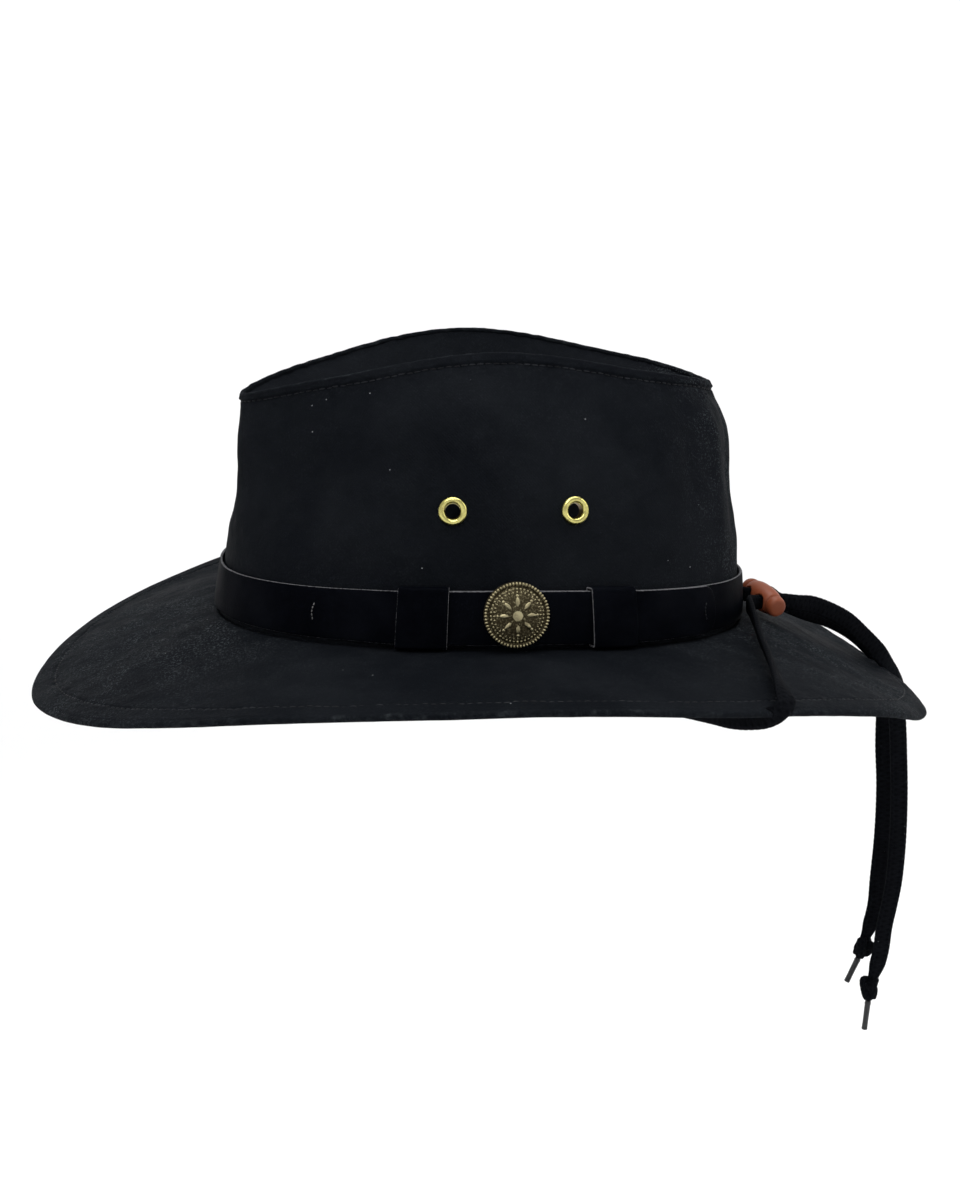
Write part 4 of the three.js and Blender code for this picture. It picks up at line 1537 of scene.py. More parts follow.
@dataclass(frozen=True)
class Brim:
    """Brim: two layers of cloth, folded at the edge and stitched round inside it."""

    form: HatForm
    stations: int = 600
    thick: float = 0.0026
    inner_rows: int = 52
    outer_reach: float = 0.0145
    outer_rows: int = 27
    # The sewn line inside the edge, the puffed hem outside it, and the pucker beside it.
    stitch_in: float = 0.0094
    groove: float = 0.00042
    groove_wide: float = 0.00055
    puff: float = 0.00028
    puff_back: float = 0.002
    puff_ramp: float = 0.0018
    puff_edge: float = 0.002
    pucker_wide: float = 0.004
    foot_calm: float = 0.1
    # Folds and waves that both layers share, which calm down towards the edge.
    girth_radius: float = 0.13
    fold_share: float = 0.42
    sway_from: float = 0.35
    edge_calm: float = 0.82
    calm_from: float = 0.5
    calm_ramp: float = 0.45
    edge_arc: tuple[float, ...] = (20, 42, 66, 90, 114, 138, 160)
    edge_wear: float = 0.42
    upper_seed: int = 41
    under_seed: int = 51
    rubbed_at: tuple[float, ...] = (192.0, 166.0, 340.0, 20.0)
    worn: tuple[WornLine, ...] = (WornLine(0.0, 0.0016, 0.34), WornLine(0.0084, 0.0006, 0.26))
    swaying: Unevenness = Unevenness(31, 0.03, 0.08, rise=0.0007)

    folds: tuple[Fold, ...] = (
        Fold(180, 0.045, 88, 0.034, 0.006, 0.0009),
        Fold(186, 0.030, 80, 0.030, 0.007, -0.0009),
        Fold(204, 0.040, 70, 0.030, 0.009, 0.0010),
        Fold(222, 0.032, 60, 0.028, 0.010, -0.0010),
        Fold(246, 0.040, 10, 0.050, 0.010, 0.0008),
        Fold(276, 0.034, -6, 0.060, 0.012, -0.0008),
        Fold(306, 0.040, -30, 0.036, 0.010, 0.0009),
        Fold(338, 0.044, -70, 0.034, 0.010, -0.0010),
        Fold(352, 0.036, 84, 0.032, 0.008, 0.0010),
        Fold(12, 0.040, 70, 0.032, 0.009, -0.0009),
        Fold(52, 0.036, 24, 0.044, 0.010, 0.0009),
        Fold(96, 0.034, 4, 0.060, 0.012, -0.0008),
        Fold(140, 0.038, -50, 0.034, 0.010, 0.0010),
    )

    def width(self, angle: Array) -> Array:
        """Returns the brim's width from the crown to its edge."""
        edge = self.form.brim(angle, np.ones_like(angle))
        return np.linalg.norm(edge - self.form.brim(angle, np.zeros_like(angle)), axis=-1)

    def relief(self, angle: Array, out: Array, seed: int) -> Array:
        """How far a face stands off its smooth form.

        Args:
            angle: angles round the hat.
            out: places out from the crown.
            seed: start of the random draws.

        Returns:
            Distance outwards.
        """
        inside = (1 - out) * self.width(angle)
        beyond = inside - self.stitch_in
        base = self.form.brim(angle, out)
        fine = Unevenness(seed, 0.006, 0.016, rise=0.0002).at(base) * (1 - 0.8 * bell(inside, 0.006))
        groove = -self.groove * bell(beyond, self.groove_wide)
        puff = self.puff * (1 - eased((beyond + self.puff_back) / self.puff_ramp))
        puff = puff * eased(inside / self.puff_edge)
        pucker = Unevenness(seed + 1, 0.003, 0.007, 40, 0.0002).at(base) * bell(beyond, self.pucker_wide)
        return fine * eased(out / self.foot_calm) + groove + puff + pucker

    def sway(self, angle: Array, out: Array) -> Array:
        """Returns how far both layers rise and fall together."""
        soft = self.fold_share * folded(self.folds, angle, out * self.width(angle), self.girth_radius)
        soft = soft + self.swaying.at(self.form.brim(angle, out))
        calm = self.edge_calm * eased((out - self.calm_from) / self.calm_ramp)
        return soft * eased(out / self.sway_from) * (1 - calm)

    def outs(self, angle: Array) -> Array:
        """Returns the places of the rows, close together at the edge."""
        width = self.width(angle)
        inner = np.linspace(0, 1, self.inner_rows, endpoint=False)[:, None] * (1 - self.outer_reach / width)
        outer = 1 - np.linspace(self.outer_reach, 0, self.outer_rows)[:, None] / width
        return np.concatenate([inner, outer])

    def build(self) -> bpy.types.Object:
        """Returns the brim."""
        angle = spaced_round(self.stations)
        outs = self.outs(angle)
        turns = np.broadcast_to(angle, outs.shape)
        normal = self.form.brim_normal(turns, outs)
        middle = self.form.brim(turns, outs) + normal * self.sway(turns, outs)[..., None]
        top = middle + normal * self.relief(turns, outs, self.upper_seed)[..., None]
        every_other = np.arange(0, self.inner_rows, 2)
        under = np.concatenate([every_other, np.arange(self.inner_rows, len(outs))])[::-1]
        depth = -self.thick - self.relief(turns[under], outs[under], self.under_seed)
        bottom = middle[under] + normal[under] * depth[..., None]
        side = np.roll(top[-1], -1, axis=0) - np.roll(top[-1], 1, axis=0)
        away = unit(np.cross(side, normal[-1]))
        centre = (top[-1] + bottom[0]) / 2
        radius = np.linalg.norm(top[-1] - bottom[0], axis=-1)[:, None] / 2
        arc = np.radians(self.edge_arc)
        edge = np.array([centre + radius * (normal[-1] * math.cos(a) + away * math.sin(a)) for a in arc])
        rings = np.concatenate([top, edge, bottom])
        inside = (1 - outs) * self.width(angle)
        worn = sum(line.at(inside) for line in self.worn)
        wear = np.concatenate([worn, np.full(edge.shape[:2], self.edge_wear), worn[under]])
        marks = {"wear": wear, "grain": grainy(np.broadcast_to(angle, wear.shape), self.rubbed_at)}
        return ring_body("brim_cloth", rings, True, seen_from_above(rings), marks)

    def stitch_path(self, lower: bool) -> Array:
        """Line of the stitching inside the edge.

        Args:
            lower: whether it is the line on the lower face.

        Returns:
            Points of the line.
        """
        angle = spaced_round(self.stations)
        out = 1 - self.stitch_in / self.width(angle)
        normal = self.form.brim_normal(angle, out)
        seed = self.under_seed if lower else self.upper_seed
        away = self.relief(angle, out, seed) + STITCH_PROUD
        height = self.sway(angle, out) + (-self.thick - away if lower else away)
        return self.form.brim(angle, out) + normal * height[:, None]

    def make(self, cloth: bpy.types.Material, thread: bpy.types.Material) -> None:
        """Builds and dresses the brim.

        Args:
            cloth: finish of the cloth.
            thread: finish of the stitches.
        """
        finished(self.build(), cloth, Slot.CLOTH, "brim")
        for label, lower, seed in (("upper", False, 7), ("lower", True, 9)):
            row = StitchRow(seed=seed).build(f"brim_stitches_{label}", self.stitch_path(lower), thread)
            finished(row, thread, Slot.CLOTH)


class SectionPoint(NamedTuple):
    """Point of the strap's section.

    Fields:
        share: height, as a share of the strap's.
        inset: how far above that height it lies, as a share of the bevel.
        away: distance off the strap's back, as a share of its thickness.
        raw: how raw and pale the leather is there.
    """

    share: float
    inset: float
    away: float
    raw: float


STRAP_SECTION = (
    SectionPoint(0.0, 1.0, 0.0, 0.0),
    SectionPoint(0.0, 0.3, 0.12, 0.3),
    SectionPoint(0.0, 0.0, 0.3, 0.5),
    SectionPoint(0.0, 0.0, 0.7, 0.5),
    SectionPoint(0.0, 0.35, 0.93, 0.5),
    SectionPoint(0.0, 1.0, 1.0, 0.0),
    *(SectionPoint(share, 0.0, 1.0, 0.0) for share in np.linspace(0, 1, 13)[1:-1]),
    SectionPoint(1.0, -1.1, 1.0, 0.0),
    SectionPoint(1.0, -0.85, 0.99, 0.0),
    SectionPoint(1.0, -0.35, 0.93, 0.6),
    SectionPoint(1.0, 0.0, 0.7, 0.66),
    SectionPoint(1.0, 0.0, 0.3, 0.5),
    SectionPoint(1.0, -0.3, 0.12, 0.0),
    SectionPoint(1.0, -1.0, 0.0, 0.0),
    SectionPoint(0.66, 0.0, 0.0, 0.0),
    SectionPoint(0.33, 0.0, 0.0, 0.0),
)


@dataclass(frozen=True)
class Band:
    """Leather band: a strap once round the crown, lapped over itself and held by two loops."""

    form: HatForm
    height: float = 0.020
    thick: float = 0.0015
    foot: float = 0.002
    start: float = 252.0
    tail: float = 319.5
    corner: float = 0.006
    seat: float = 0.0005
    loop_thick: float = 0.0012
    loop_front: tuple[float, float] = (248.8, 258.8)
    loop_back: tuple[float, float] = (285.0, 294.5)
    lift_ramp: float = 9.0
    lift_margin: float = 2.5
    lap_ramp: float = 12.0
    tail_degree: float = 0.0016
    bevel: float = 0.0004
    pillow: float = 0.00022
    slack: float = 0.0004
    end_slack: float = 0.0024
    loop_bulge: float = 0.0003
    # The tacks of thread: angle, and heights of both ends above the strap's foot.
    tack_front: Triple = (229.0, 0.0070, 0.0122)
    tack_back: Triple = (675.6, 0.006, 0.0115)
    tack_bow: float = -0.35
    tack_points: int = 6
    tack_proud: float = 0.00028
    # Degrees between the strap's rows, and what is left of its height at the tip of its tail.
    strap_step: float = 0.55
    tail_gap: float = 0.4
    tail_half: float = 0.003
    # The rounded edges and corners of the loops.
    loop_round: float = 0.00028
    loop_round_wide: float = 0.025
    loop_corner: float = 0.00025
    loop_corner_grow: float = 0.85
    facing_level: float = 0.15
    ripple: Unevenness = Unevenness(61, 0.012, 0.04, rise=0.00022)

    def stand(self, angle: Array) -> Array:
        """Returns how far the strap's back stands off the crown."""
        turn = angle % 360
        before = turn - self.loop_front[0] + self.lift_margin
        after = self.loop_back[1] + self.lift_margin - turn
        rise = eased(1 + before / self.lift_ramp) * eased(1 + after / self.lift_ramp)
        lap = eased((angle - (self.start + 360 - self.lap_ramp)) / (self.lap_ramp - 1))
        return self.seat + rise * (self.loop_thick + GAP) + lap * (self.thick + GAP)

    def tall(self, angle: Array) -> Array:
        """Returns the strap's height, which is a little less where it is pulled round front and back."""
        return self.height - self.slack - self.end_slack * np.cos(np.radians(angle)) ** 2

    def on_crown(self, angle: Array, height: Array, away: Array) -> Array:
        """Returns points at a height above the crown's foot and a distance off it."""
        return self.form.off_crown(angle, self.form.level_at(angle, height), away)

    def strap(self) -> bpy.types.Object:
        """Returns the strap, its loose end rounded."""
        end = self.tail + 360
        backs = np.array([0, 0.1, 0.25, 0.5, 0.9, 1.4, 2.0, 2.8, 3.8, 5.0, 6.0]) * 0.001
        tail = (end - backs / self.tail_degree)[::-1]
        angles = np.concatenate([np.arange(self.start, tail[0] - self.tail_gap, self.strap_step), tail])
        near = np.maximum(self.corner - (end - angles) * self.tail_degree, 0)
        shy = self.corner - np.sqrt(np.maximum(self.corner**2 - near**2, 0))
        tall = self.tall(angles)
        shy = np.minimum(shy, tall / 2 - self.tail_half)
        share, inset, away, raw = (np.array(column) for column in zip(*STRAP_SECTION))
        outside = away > 0.5
        span = tall - 2 * shy
        height = shy[:, None] + share * span[:, None] + inset * self.bevel
        swell = self.pillow * 4 * share * (1 - share) * outside
        turns = np.broadcast_to(angles[:, None], height.shape)
        off = self.stand(turns) + away * self.thick + swell
        rings = self.on_crown(turns, self.foot + height, off)
        wave = self.ripple.at(rings) * outside
        rings = rings + self.form.crown_normal(turns, self.facing_level) * wave[..., None]
        marks = np.array(np.broadcast_to(raw, height.shape))
        marks[-1] = np.where(share > 0.5, 0.5, 0.0)
        return ring_body("leather_strap", rings, False, None, {"raw_edge": marks})

    def loop(self, name: str, span: tuple[float, float], pale: tuple[float, float]) -> bpy.types.Object:
        """Loop of leather round both layers of the strap.

        Args:
            name: the piece's name.
            span: the angles that it lies between.
            pale: how raw its front edge and its back edge are.

        Returns:
            The loop.
        """
        across = np.array([0, 0.018, 0.05, *np.linspace(0.1, 0.9, 17), 0.95, 0.982, 1])
        angles = span[0] + across * (span[1] - span[0])
        edge = np.minimum(across, 1 - across)
        shy = self.loop_round * bell(edge, self.loop_round_wide)
        outer = [self.loop_line(a, self.loop_thick - s) for a, s in zip(angles, shy)]
        inner = [self.loop_line(a, s) for a, s in zip(angles[::-1], shy[::-1])]
        raw = np.zeros(len(across))
        raw[0], raw[-1] = pale
        rings = np.array(outer + inner)
        marks = np.repeat(np.concatenate([raw, raw[::-1]])[:, None], rings.shape[1], 1)
        return ring_body(name, rings, True, None, {"raw_edge": marks})

    def loop_line(self, angle: float, grow: float) -> Array:
        """Closed line of a loop at one angle.

        Args:
            angle: where round the hat.
            grow: how far outside the loop's inner face it runs.

        Returns:
            Points of the line.
        """
        inside = self.seat + self.loop_thick - grow
        outside = self.seat + self.loop_thick + 2 * self.thick + 3 * GAP + grow
        low = self.foot - GAP - grow
        high = self.foot + float(self.tall(np.array(angle))) + GAP + grow
        corner = self.loop_corner + grow * self.loop_corner_grow
        corners = (
            (high - corner, outside - corner, 0),
            (high - corner, inside + corner, 90),
            (low + corner, inside + corner, 180),
            (low + corner, outside - corner, 270),
        )
        heights: list[float] = []
        aways: list[float] = []
        for height, away, start in corners:
            for turn in np.radians(start + np.linspace(0, 90, 6)):
                heights.append(height + corner * math.sin(turn))
                aways.append(away + corner * math.cos(turn))
        face = np.linspace(low + corner, high - corner, 12)[1:-1]
        heights = np.concatenate([heights, face])
        aways = np.concatenate([aways, np.full(len(face), outside)])
        rise = np.sin(math.pi * np.clip((heights - low) / (high - low), 0, 1))
        bulge = self.loop_bulge * rise * (aways > (inside + outside) / 2)
        return self.on_crown(np.full(len(heights), angle), heights, aways + bulge)

    def tack(self, name: str, at: Triple, thread: bpy.types.Material) -> bpy.types.Object:
        """Short upright row of stitches in the strap.

        Args:
            name: the piece's name.
            at: angle round the hat, and heights of its ends above the strap's foot.
            thread: finish of the thread.

        Returns:
            The row.
        """
        heights = self.foot + np.linspace(at[1], at[2], self.tack_points)
        turns = at[0] + self.tack_bow * np.sin(np.linspace(0, math.pi, self.tack_points))
        path = self.on_crown(turns, heights, self.stand(turns) + self.thick + self.tack_proud)
        row = StitchRow(pitch=0.0013, length=0.0011, thick=0.00024, wander=0.35, seed=15)
        return row.build(name, path, thread, shut=False)

    def make(self, leather: bpy.types.Material, pale: bpy.types.Material, dark: bpy.types.Material) -> None:
        """Builds and dresses the band.

        Args:
            leather: finish of the strap and the loops.
            pale: worn thread of the front tack.
            dark: thread of the tack at the strap's end.
        """
        finished(self.strap(), leather, Slot.LEATHER, "hat_band")
        loops = (
            ("keeper_front", self.loop_front, (0.56, 0.78)),
            ("keeper_back", self.loop_back, (0.74, 0.0)),
        )
        for name, span, raw in loops:
            finished(self.loop(f"leather_{name}", span, raw), leather, Slot.LEATHER, name)
        finished(self.tack("strap_tack_front", self.tack_front, pale), pale, Slot.LEATHER)
        finished(self.tack("strap_tack_back", self.tack_back, dark), dark, Slot.LEATHER)


def stud_ring_tree() -> bpy.types.NodeTree:
    """Returns the tree that adds a ring of round studs to a body turned about its Y axis."""
    known = bpy.data.node_groups.get("stud_ring")
    if known:
        return known
    inputs = {"Count": 30, "Ring": 0.01, "Height": 0.0, "Reach": 0.001, "Rise": 0.001, "Spread": 0.001}
    group, tree, given = node_tools("stud_ring", inputs)
    circle = tree.node("GeometryNodeMeshCircle", {"Vertices": given["Count"], "Radius": given["Ring"]})
    lift = tree.node("ShaderNodeCombineXYZ", {1: given["Height"]}).outputs[0]
    ring = tree.node(
        "GeometryNodeTransform",
        {"Geometry": circle.outputs[0], "Rotation": (math.pi / 2, 0.0, 0.0), "Translation": lift},
    ).outputs[0]
    place = tree.node("GeometryNodeInputPosition").outputs[0]
    level = tree.vector("MULTIPLY", place, (1.0, 0.0, 1.0))
    out = tree.node(
        "FunctionNodeAlignRotationToVector", {"Vector": level}, axis="X", pivot_axis="Y"
    ).outputs[0]
    ball = tree.node("GeometryNodeMeshUVSphere", {"Segments": 12, "Rings": 8, "Radius": 1.0}).outputs[0]
    reach, rise, spread = given["Reach"], given["Rise"], given["Spread"]
    size = tree.node("ShaderNodeCombineXYZ", {0: reach, 1: rise, 2: spread}).outputs[0]
    stud = tree.node("GeometryNodeTransform", {"Geometry": ball, "Scale": size}).outputs[0]
    studs = tree.node(
        "GeometryNodeInstanceOnPoints", {"Points": ring, "Instance": stud, "Rotation": out}
    ).outputs[0]
    joined = tree.node("GeometryNodeJoinGeometry", {0: given["Geometry"]})
    tree.feed(joined.inputs[0], studs)
    close_tree(tree, joined.outputs[0], given["Material"])
    return group


class StudRing(NamedTuple):
    """One ring of studs on the ornament.

    Fields:
        count: how many.
        ring: radius that they stand on, as a share of the ornament's.
        reach: half length along the radius, as a share.
        rise: half height.
        spread: half width across the radius, as a share.
        sink: how far their middles lie below the face.
    """

    count: int
    ring: float
    reach: float
    rise: float
    spread: float
    sink: float


@dataclass(frozen=True)
class Ornament:
    """Round domed ornament: a reeded rim, a ring of beads and a flower of eight petals."""

    band: Band
    at: float = 270.7
    height: float = 0.0134
    radius: float = 0.0121
    rim: float = 0.0014
    dome: float = 0.004
    dome_fall: float = 0.75
    lip_from: float = 0.9
    lip_ramp: float = 0.03
    lip_rise: float = 0.0005
    dish_at: float = 0.87
    dish_wide: float = 0.035
    dish_depth: float = 0.0004
    hub: float = 0.15
    hub_hollow: float = 0.1
    hollow_most: float = 0.72
    hollow_rise: float = 0.0005
    sides: int = 96

    rings: tuple[StudRing, ...] = (
        StudRing(60, 0.955, 0.055, 0.0005, 0.034, 0.0),
        StudRing(44, 0.80, 0.034, 0.0004, 0.036, 0.0001),
        StudRing(8, 0.38, 0.19, 0.0005, 0.07, 0.0002),
        StudRing(8, 0.60, 0.05, 0.0004, 0.05, 0.0001),
        StudRing(36, 0.70, 0.045, 0.0003, 0.022, 0.0001),
    )

    def face(self, share: float) -> float:
        """Returns the height of the dome's face at a share of the radius."""
        lip = self.lip_rise * float(eased(np.array((share - self.lip_from + self.lip_ramp) / self.lip_ramp)))
        dish = self.dish_depth * float(bell(np.array(share - self.dish_at), self.dish_wide))
        return self.rim + self.dome * (1 - self.dome_fall * share**2) + lip - dish

    def build(self, brass: bpy.types.Material) -> bpy.types.Object:
        """Builds the ornament on the strap.

        Args:
            brass: its finish.

        Returns:
            The ornament as one mesh.
        """
        shares = np.concatenate([np.linspace(0.99, 0.86, 9), np.linspace(0.84, 0.02, 24)])
        edge = [(0.0, 0.9), (0.0003, 0.98), (self.rim * 0.6, 1.0), (self.face(1.0) - 0.0003, 1.0)]
        profile = [(along, share * self.radius) for along, share in edge]
        profile += [(self.face(float(share)), float(share) * self.radius) for share in shares]
        body = turned_body("domed_ornament", profile, self.sides, Matrix.Identity(4), False)
        for ring in self.rings:
            values = {
                "Count": ring.count,
                "Ring": ring.ring * self.radius,
                "Height": self.face(ring.ring) - ring.sink,
                "Reach": ring.reach * self.radius,
                "Rise": ring.rise,
                "Spread": ring.spread * self.radius,
                "Material": brass,
            }
            body = grown(body, stud_ring_tree(), values)
        self.mark_hollows(body)
        form = self.band.form
        level = float(form.level_at(np.array(self.at), np.array(self.height)))
        seat = float(self.band.stand(np.array(self.at + 360))) + self.band.thick + GAP
        out = form.crown_normal(self.at, level)
        place = form.off_crown(np.array(self.at), np.array(level), np.array(seat))
        body.data.transform(placement(place, out, (1, 0, 0)))
        return body

    def mark_hollows(self, body: bpy.types.Object) -> None:
        """Stores how deep each point lies below the crests near it, in the attribute "hollow"."""
        points = coordinates(body.data).reshape(-1, 3)
        share = np.hypot(points[:, 0], points[:, 2]) / self.radius
        face = np.array([self.face(float(s)) for s in share])
        above = points[:, 1] - face
        hollow = np.clip(self.hollow_most - above / self.hollow_rise, 0, 1)
        store(body.data, "hollow", np.where(share > self.hub, hollow, self.hub_hollow))


@dataclass(frozen=True)
class CordSlide:
    """Turned wooden slide with a grooved head at each end and a hole for each strand."""

    middle: Triple = (0.1182, -0.008, -0.0029)
    axis: Triple = (-6.0, 24.0, 4.0)
    across: Triple = (1.0, 0.24, 0.0)
    pitch: float = 0.0044
    hole: float = 0.0034
    drill_reach: float = 0.01
    sides: int = 72

    outline: tuple[tuple[float, float], ...] = (
        (0.0125, 0.0021),
        (0.01247, 0.0029),
        (0.01232, 0.00335),
        (0.0120, 0.00372),
        (0.0115, 0.00396),
        (0.0107, 0.00418),
        (0.0099, 0.0043),
        (0.0095, 0.0043),
        (0.0093, 0.00415),
        (0.0091, 0.0038),
        (0.0089, 0.00358),
        (0.0086, 0.00358),
        (0.0084, 0.0038),
        (0.0082, 0.0042),
        (0.0079, 0.00445),
        (0.0074, 0.00464),
        (0.0062, 0.00494),
        (0.0046, 0.00526),
        (0.0030, 0.00542),
        (0.0015, 0.00549),
        (0.0, 0.0055),
    )

    def hole_way(self) -> Vector:
        """Returns the direction of the holes."""
        along = Vector(self.axis).normalized()
        way = Vector(self.across)
        return (way - along * way.dot(along)).normalized()

    def hole_point(self, side: Side, along: float) -> Triple:
        """Returns a point on the axis of one side's hole."""
        axis = Vector(self.axis).normalized()
        return tuple(Vector(self.middle) + axis * (side.value * self.pitch) + self.hole_way() * along)

    def build(self) -> bpy.types.Object:
        """Returns the slide."""
        near = [(-along, radius) for along, radius in self.outline]
        profile = near[:-1] + [(along, radius) for along, radius in reversed(self.outline)]
        place = placement(self.middle, self.axis, self.hole_way())
        barrel = turned_body("wooden_slide", profile, self.sides, place, False)
        drills = []
        drill = [(-self.drill_reach, self.hole), (self.drill_reach, self.hole)]
        for side in Side:
            at = placement(self.hole_point(side, 0.0), self.hole_way(), self.axis)
            drills.append(turned_body(f"drill_{side.name.lower()}", drill, 40, at, False))
        return cut(barrel, drills)


class Row(NamedTuple):
    """A point of a cord's route, with the direction that its width takes there."""

    at: Triple
    flat: Triple


TO_THE_SLIDE = (
    Row((0.0040, -0.0780, 0.0160), (1, 0, 0)),
    Row((0.0050, -0.0788, 0.0060), (1, 0, 0)),
    Row((0.0070, -0.0792, -0.0040), (1, 0.1, 0)),
    Row((0.0130, -0.0825, -0.0120), (1, -0.5, 0)),
    Row((0.0280, -0.0895, -0.0178), (0.4, -1, 0)),
    Row((0.0440, -0.0985, -0.0188), (0.5, -1, 0.1)),
    Row((0.0589, -0.1100, -0.0182), (0.3, -0.5, 0.6)),
    Row((0.0686, -0.1195, -0.0182), (0.1, -0.2, 1)),
    Row((0.0731, -0.1265, -0.0178), (0, 0, 1)),
    Row((0.0773, -0.1330, -0.0165), (0, 0, 1)),
    Row((0.0822, -0.1386, -0.0145), (-0.15, 0, 1)),
    Row((0.0858, -0.1412, -0.0121), (-0.5, -0.1, 0.85)),
    Row((0.0883, -0.1412, -0.0098), (-0.85, -0.2, 0.5)),
    Row((0.0895, -0.1388, -0.0080), (-0.95, -0.3, 0.15)),
    Row((0.0901, -0.1345, -0.0068), (-0.9, -0.15, 0.4)),
    Row((0.0911, -0.1270, -0.0063), (-0.7, 0, 0.7)),
    Row((0.0942, -0.1080, -0.0058), (-0.45, 0, 0.9)),
    Row((0.0974, -0.0880, -0.0052), (-0.35, 0, 1)),
    Row((0.1005, -0.0680, -0.0043), (-0.3, 0, 1)),
)
LAST_OVER_BRIM = {
    Side.LEFT: (
        Row((0.1041, -0.0480, -0.0032), (-0.2, 0, 1)),
        Row((0.1069, -0.0310, -0.0024), (-0.1, 0, 1)),
        Row((0.1086, -0.0215, -0.0022), (0, 0, 1)),
    ),
    Side.RIGHT: (
        Row((0.1044, 0.0500, -0.0038), (-0.2, 0, 1)),
        Row((0.1074, 0.0380, -0.0032), (-0.1, 0, 1)),
        Row((0.1090, 0.0240, -0.0028), (0, 0, 1)),
        Row((0.1092, 0.0100, -0.0026), (0, 0, 1)),
        Row((0.1094, 0.0024, -0.0024), (0, 0, 1)),
        Row((0.1104, -0.0026, -0.0023), (0, 0, 1)),
    ),
}
LOOSE = {
    Side.LEFT: (
        Row((0.1328, -0.0096, -0.0056), (0.15, 0, 1)),
        Row((0.1390, -0.0070, -0.0069), (0.3, 0, 1)),
        Row((0.1476, -0.0040, -0.0105), (0.45, 0, 1)),
        Row((0.1567, -0.0010, -0.0158), (0.6, 0, 1)),
        Row((0.1650, 0.0024, -0.0232), (0.75, 0, 1)),
        Row((0.1732, 0.0054, -0.0313), (0.8, 0.1, 0.8)),
        Row((0.1788, 0.0074, -0.0380), (0.6, 0.6, 0.6)),
        Row((0.1838, 0.0086, -0.0438), (0.35, 1, 0.2)),
        Row((0.1856, 0.0090, -0.0500), (0.6, 0.8, 0)),
        Row((0.1848, 0.0090, -0.0575), (0.97, -0.1, 0)),
        Row((0.1860, 0.0090, -0.0740), (0.99, -0.14, 0)),
        Row((0.1875, 0.0090, -0.0960), (0.99, -0.14, 0)),
        Row((0.1880, 0.0090, -0.1178), (0.99, -0.14, 0)),
        Row((0.1872, 0.0090, -0.1379), (1, -0.1, -0.1)),
        Row((0.1856, 0.0090, -0.1496), (1, 0, -0.2)),
        Row((0.1838, 0.0090, -0.1600), (1, 0, -0.2)),
        Row((0.1828, 0.0090, -0.1709), (1, 0, -0.2)),
        Row((0.1810, 0.0090, -0.1794), (1, 0, -0.3)),
        Row((0.1794, 0.0090, -0.1850), (1, 0, -0.3)),
    ),
    Side.RIGHT: (
        Row((0.1260, -0.0018, -0.0056), (0.1, 0.3, 0.95)),
        Row((0.1326, 0.0004, -0.0090), (0.15, 0, 1)),
        Row((0.1418, 0.0040, -0.0132), (0.35, 0, 1)),
        Row((0.1508, 0.0080, -0.0168), (0.45, 0, 1)),
        Row((0.1598, 0.0120, -0.0216), (0.6, 0, 1)),
        Row((0.1682, 0.0156, -0.0276), (0.75, 0, 1)),
        Row((0.1752, 0.0184, -0.0342), (0.8, 0.1, 0.8)),
        Row((0.1802, 0.0198, -0.0392), (0.6, 0.6, 0.6)),
        Row((0.1840, 0.0206, -0.0438), (0.35, 1, 0.2)),
        Row((0.1856, 0.0210, -0.0500), (0.5, 0.9, 0)),
        Row((0.1838, 0.0210, -0.0590), (0.97, -0.1, 0)),
        Row((0.1836, 0.0208, -0.0766), (0.99, -0.14, 0)),
        Row((0.1849, 0.0204, -0.0974), (0.99, -0.14, 0)),
        Row((0.1850, 0.0202, -0.1193), (0.99, -0.14, 0)),
        Row((0.1838, 0.0200, -0.1419), (1, -0.1, -0.1)),
        Row((0.1832, 0.0200, -0.1538), (1, 0, -0.1)),
        Row((0.1812, 0.0200, -0.1634), (1, 0, -0.2)),
        Row((0.1789, 0.0200, -0.1700), (1, 0, -0.3)),
    ),
}
THROUGH_THE_SLIDE = (-0.005, 0.0, 0.0045)


def route(side: Side, slide: CordSlide) -> list[Row]:
    """Whole route of one strand.

    Args:
        side: the side that it starts on.
        slide: the slide that it passes through.

    Returns:
        Its rows in order.
    """
    rows = [
        Row((r.at[0], -side.value * r.at[1], r.at[2]), (r.flat[0], -side.value * r.flat[1], r.flat[2]))
        for r in TO_THE_SLIDE
    ]
    rows += LAST_OVER_BRIM[side]
    rows += [Row(slide.hole_point(side, along), (0, 0, 1)) for along in THROUGH_THE_SLIDE]
    return rows + list(LOOSE[side])


def centripetal(points: Array, per_span: int) -> Array:
    """Centripetal Catmull-Rom curve.

    Args:
        points: what it passes through.
        per_span: steps from one point to the next.

    Returns:
        Points along the curve.
    """
    ends = np.vstack([2 * points[0] - points[1], points, 2 * points[-1] - points[-2]])
    part = (np.arange(per_span) / per_span)[:, None]
    spans = []
    for i in range(len(points) - 1):
        a, b, c, d = ends[i : i + 4]
        before, across, after = (math.sqrt(float(np.linalg.norm(q - p))) for p, q in ((a, b), (b, c), (c, d)))
        start = ((b - a) / before - (c - a) / (before + across) + (c - b) / across) * across
        finish = ((c - b) / across - (d - b) / (across + after) + (d - c) / after) * across
        square = -3 * b + 3 * c - 2 * start - finish
        cube = 2 * b - 2 * c + start + finish
        spans.append(b + start * part + square * part**2 + cube * part**3)
    return np.vstack([*spans, points[-1:]])


